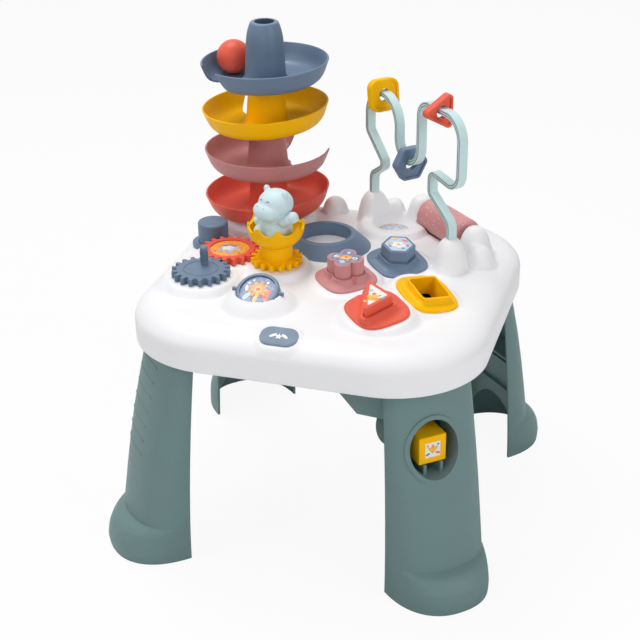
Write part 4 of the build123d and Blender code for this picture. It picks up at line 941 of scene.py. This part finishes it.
def soft_figure():
    """The sitting hippo: rounded masses run together under one soft vinyl skin."""
    seat, bearing = 364.0, -118.0
    # forward, left and up of each mass, then its half sizes the same way
    masses = (
        (0, 0, 18, 21, 22, 18.5), (2, 0, 31, 16, 17, 14),  # trunk, chest
        (0, 1, 51.5, 22, 22.5, 18.4), (15, 0, 44.5, 14.5, 20, 12.2), (9, 0, 40, 12, 16, 8),  # head, muzzle, chin
        (-1, 16, 66.5, 3.8, 4.4, 4.8), (-1, -16, 66.5, 3.8, 4.4, 4.8),  # ears
        (15, 11, 14, 11, 9.8, 10), (15, -11, 14, 11, 9.8, 10),  # feet
        (3, 17, 32, 8, 8, 8), (1, 23, 35, 7, 7, 7), (-2, 29, 39, 7.2, 7.4, 7.6),  # the raised arm
        (7, -17, 31, 7.5, 7, 7.5), (12, -19, 26, 6.8, 6.4, 6.6))  # the other arm
    place = Matrix.Translation(Vector((*crown_at, seat)) * mm) @ Matrix.Rotation(math.radians(bearing), 4, "Z")
    form = bmesh.new()
    for forward, left, up, long, wide, high in masses:
        spot = Matrix.Translation(Vector((forward, left, up)) * mm)
        size = Matrix.Diagonal((long * mm, wide * mm, high * mm, 1.0))
        bmesh.ops.create_icosphere(form, subdivisions=4, radius=1.0, matrix=place @ spot @ size)
    for corner in form.verts:
        corner.co.z = max(corner.co.z, (seat + 0.2) * mm)
    mesh = bpy.data.meshes.new("figure_core")
    form.to_mesh(mesh)
    form.free()
    core = linked("figure_core", mesh)
    skin = core.modifiers.new("skin", "REMESH")
    skin.mode = "VOXEL"
    skin.voxel_size = 0.9 * mm
    ease = core.modifiers.new("ease", "SMOOTH")
    ease.factor = 0.6
    ease.iterations = 7
    shape = worked_out(core)
    settle("hippo_skin", shape, [pale_blue], "hippo", ("hippo_figure",))
    vinyl = skin_of(shape)

    def on_skin(forward, left, up, towards):
        start = place @ (Vector((forward, left, up)) * mm)
        aim = (place.to_3x3() @ Vector(towards)).normalized()
        hit = vinyl.ray_cast(start - aim * 80 * mm, aim)[0]
        return (hit - aim * 0.1 * mm) / mm

    face, cheeks = [], []
    run = [-1 + step / 3 for step in range(7)]
    for side in (-1, 1):
        face.append([on_skin(10, side * 6.6 + 2.3 * t, 57.6 + 1.5 * (1 - t * t), (-1, 0, -0.12)) for t in run])
        face.append([on_skin(20, side * 5.8 + 0.8 * t, 49.5 + 0.4 * t, (-1, 0, -0.5)) for t in run[1:-1]])
        cheeks.append([on_skin(10, side * (9 + 7 * t), 52.5 - 3 * t - 5 * t * t, (-1, -side * 0.5, 0))
                       for t in (0.0, 0.2, 0.4, 0.6, 0.8, 1.0)])
    bead_lines("hippo_face_lines", face, 0.42, ink_dark, "hippo")
    bead_lines("hippo_cheek_lines", cheeks, 0.35, pale_blue, "hippo")


soft_figure()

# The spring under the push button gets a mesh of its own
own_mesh(bpy.data.objects["button_spring_dressed"])


# Camera, light and floor, in metres

def aimed(place, aim):
    turn = (Vector(aim) - Vector(place)).to_track_quat("-Z", "Y")
    return Matrix.Translation(place) @ turn.to_matrix().to_4x4()


def make_camera():
    lens = bpy.data.cameras.new("camera")
    lens.sensor_width = 36.0
    lens.lens = 81.28
    roll = Matrix.Rotation(math.radians(-0.63), 4, "Z")
    camera = linked("camera", lens)
    camera.matrix_world = aimed((0.4746, -1.6102, 1.1037), (0.0541, -0.2389, 0.375)) @ roll
    scene.camera = camera


def lamp(name, place, aim_level, width, power):
    light = bpy.data.lights.new(name, "AREA")
    light.shape = "DISK"
    light.size = width
    light.energy = power
    linked(name, light).matrix_world = aimed(place, (0.0, 0.0, aim_level))


def make_stage():
    scene.view_settings.view_transform = "Standard"
    paper_white = (1.0, 1.0, 1.0, 1.0)
    lit, shown = 0.26, 1.0  # the world's strength on the object, and as it is seen
    world = bpy.data.worlds.new("studio")
    scene.world = world
    world.use_nodes = True
    tree = world.node_tree
    tree.nodes.clear()
    path = add(tree, "ShaderNodeLightPath")
    seen = add(tree, "ShaderNodeMath", {0: path.outputs["Is Camera Ray"], 1: path.outputs["Is Transmission Ray"]},
               operation="MAXIMUM")
    seen = add(tree, "ShaderNodeMath", {0: seen.outputs[0], 1: path.outputs["Is Glossy Ray"]}, operation="MAXIMUM")
    level = add(tree, "ShaderNodeMapRange", {0: seen.outputs[0], 1: 0.0, 2: 1.0, 3: lit, 4: shown})
    back = add(tree, "ShaderNodeBackground", {"Color": paper_white, "Strength": level.outputs[0]})
    add(tree, "ShaderNodeOutputWorld", {"Surface": back.outputs[0]})
    material, tree = shader_tree("white studio floor")
    path = add(tree, "ShaderNodeLightPath")
    matt = add(tree, "ShaderNodeBsdfDiffuse", {"Color": colour("F4F4F4")})
    bright = add(tree, "ShaderNodeEmission", {"Color": paper_white, "Strength": 1.0})
    share = add(tree, "ShaderNodeMath", {0: path.outputs["Is Camera Ray"], 1: 0.92}, operation="MULTIPLY")
    mixed = add(tree, "ShaderNodeMixShader", {0: share.outputs[0], 1: matt.outputs[0], 2: bright.outputs[0]})
    add(tree, "ShaderNodeOutputMaterial", {"Surface": mixed.outputs[0]})
    wide, under = 12.0, -0.0004
    mesh = bpy.data.meshes.new("floor")
    mesh.from_pydata([(-wide, -wide, under), (wide, -wide, under), (wide, wide, under), (-wide, wide, under)], [],
                     [(0, 1, 2, 3)])
    mesh.materials.append(material)
    linked("floor", mesh)
    lamp("top softbox", (-0.7, 0.5, 2.6), 0.3, 1.5, 40.0)
    lamp("left softbox", (-1.7, -1.5, 2.1), 0.4, 1.2, 15.0)
    lamp("right softbox", (2.2, -0.9, 1.3), 0.3, 1.4, 18.0)
    lamp("front softbox", (0.3, -2.8, 1.3), 0.3, 1.6, 11.0)


make_camera()
make_stage()
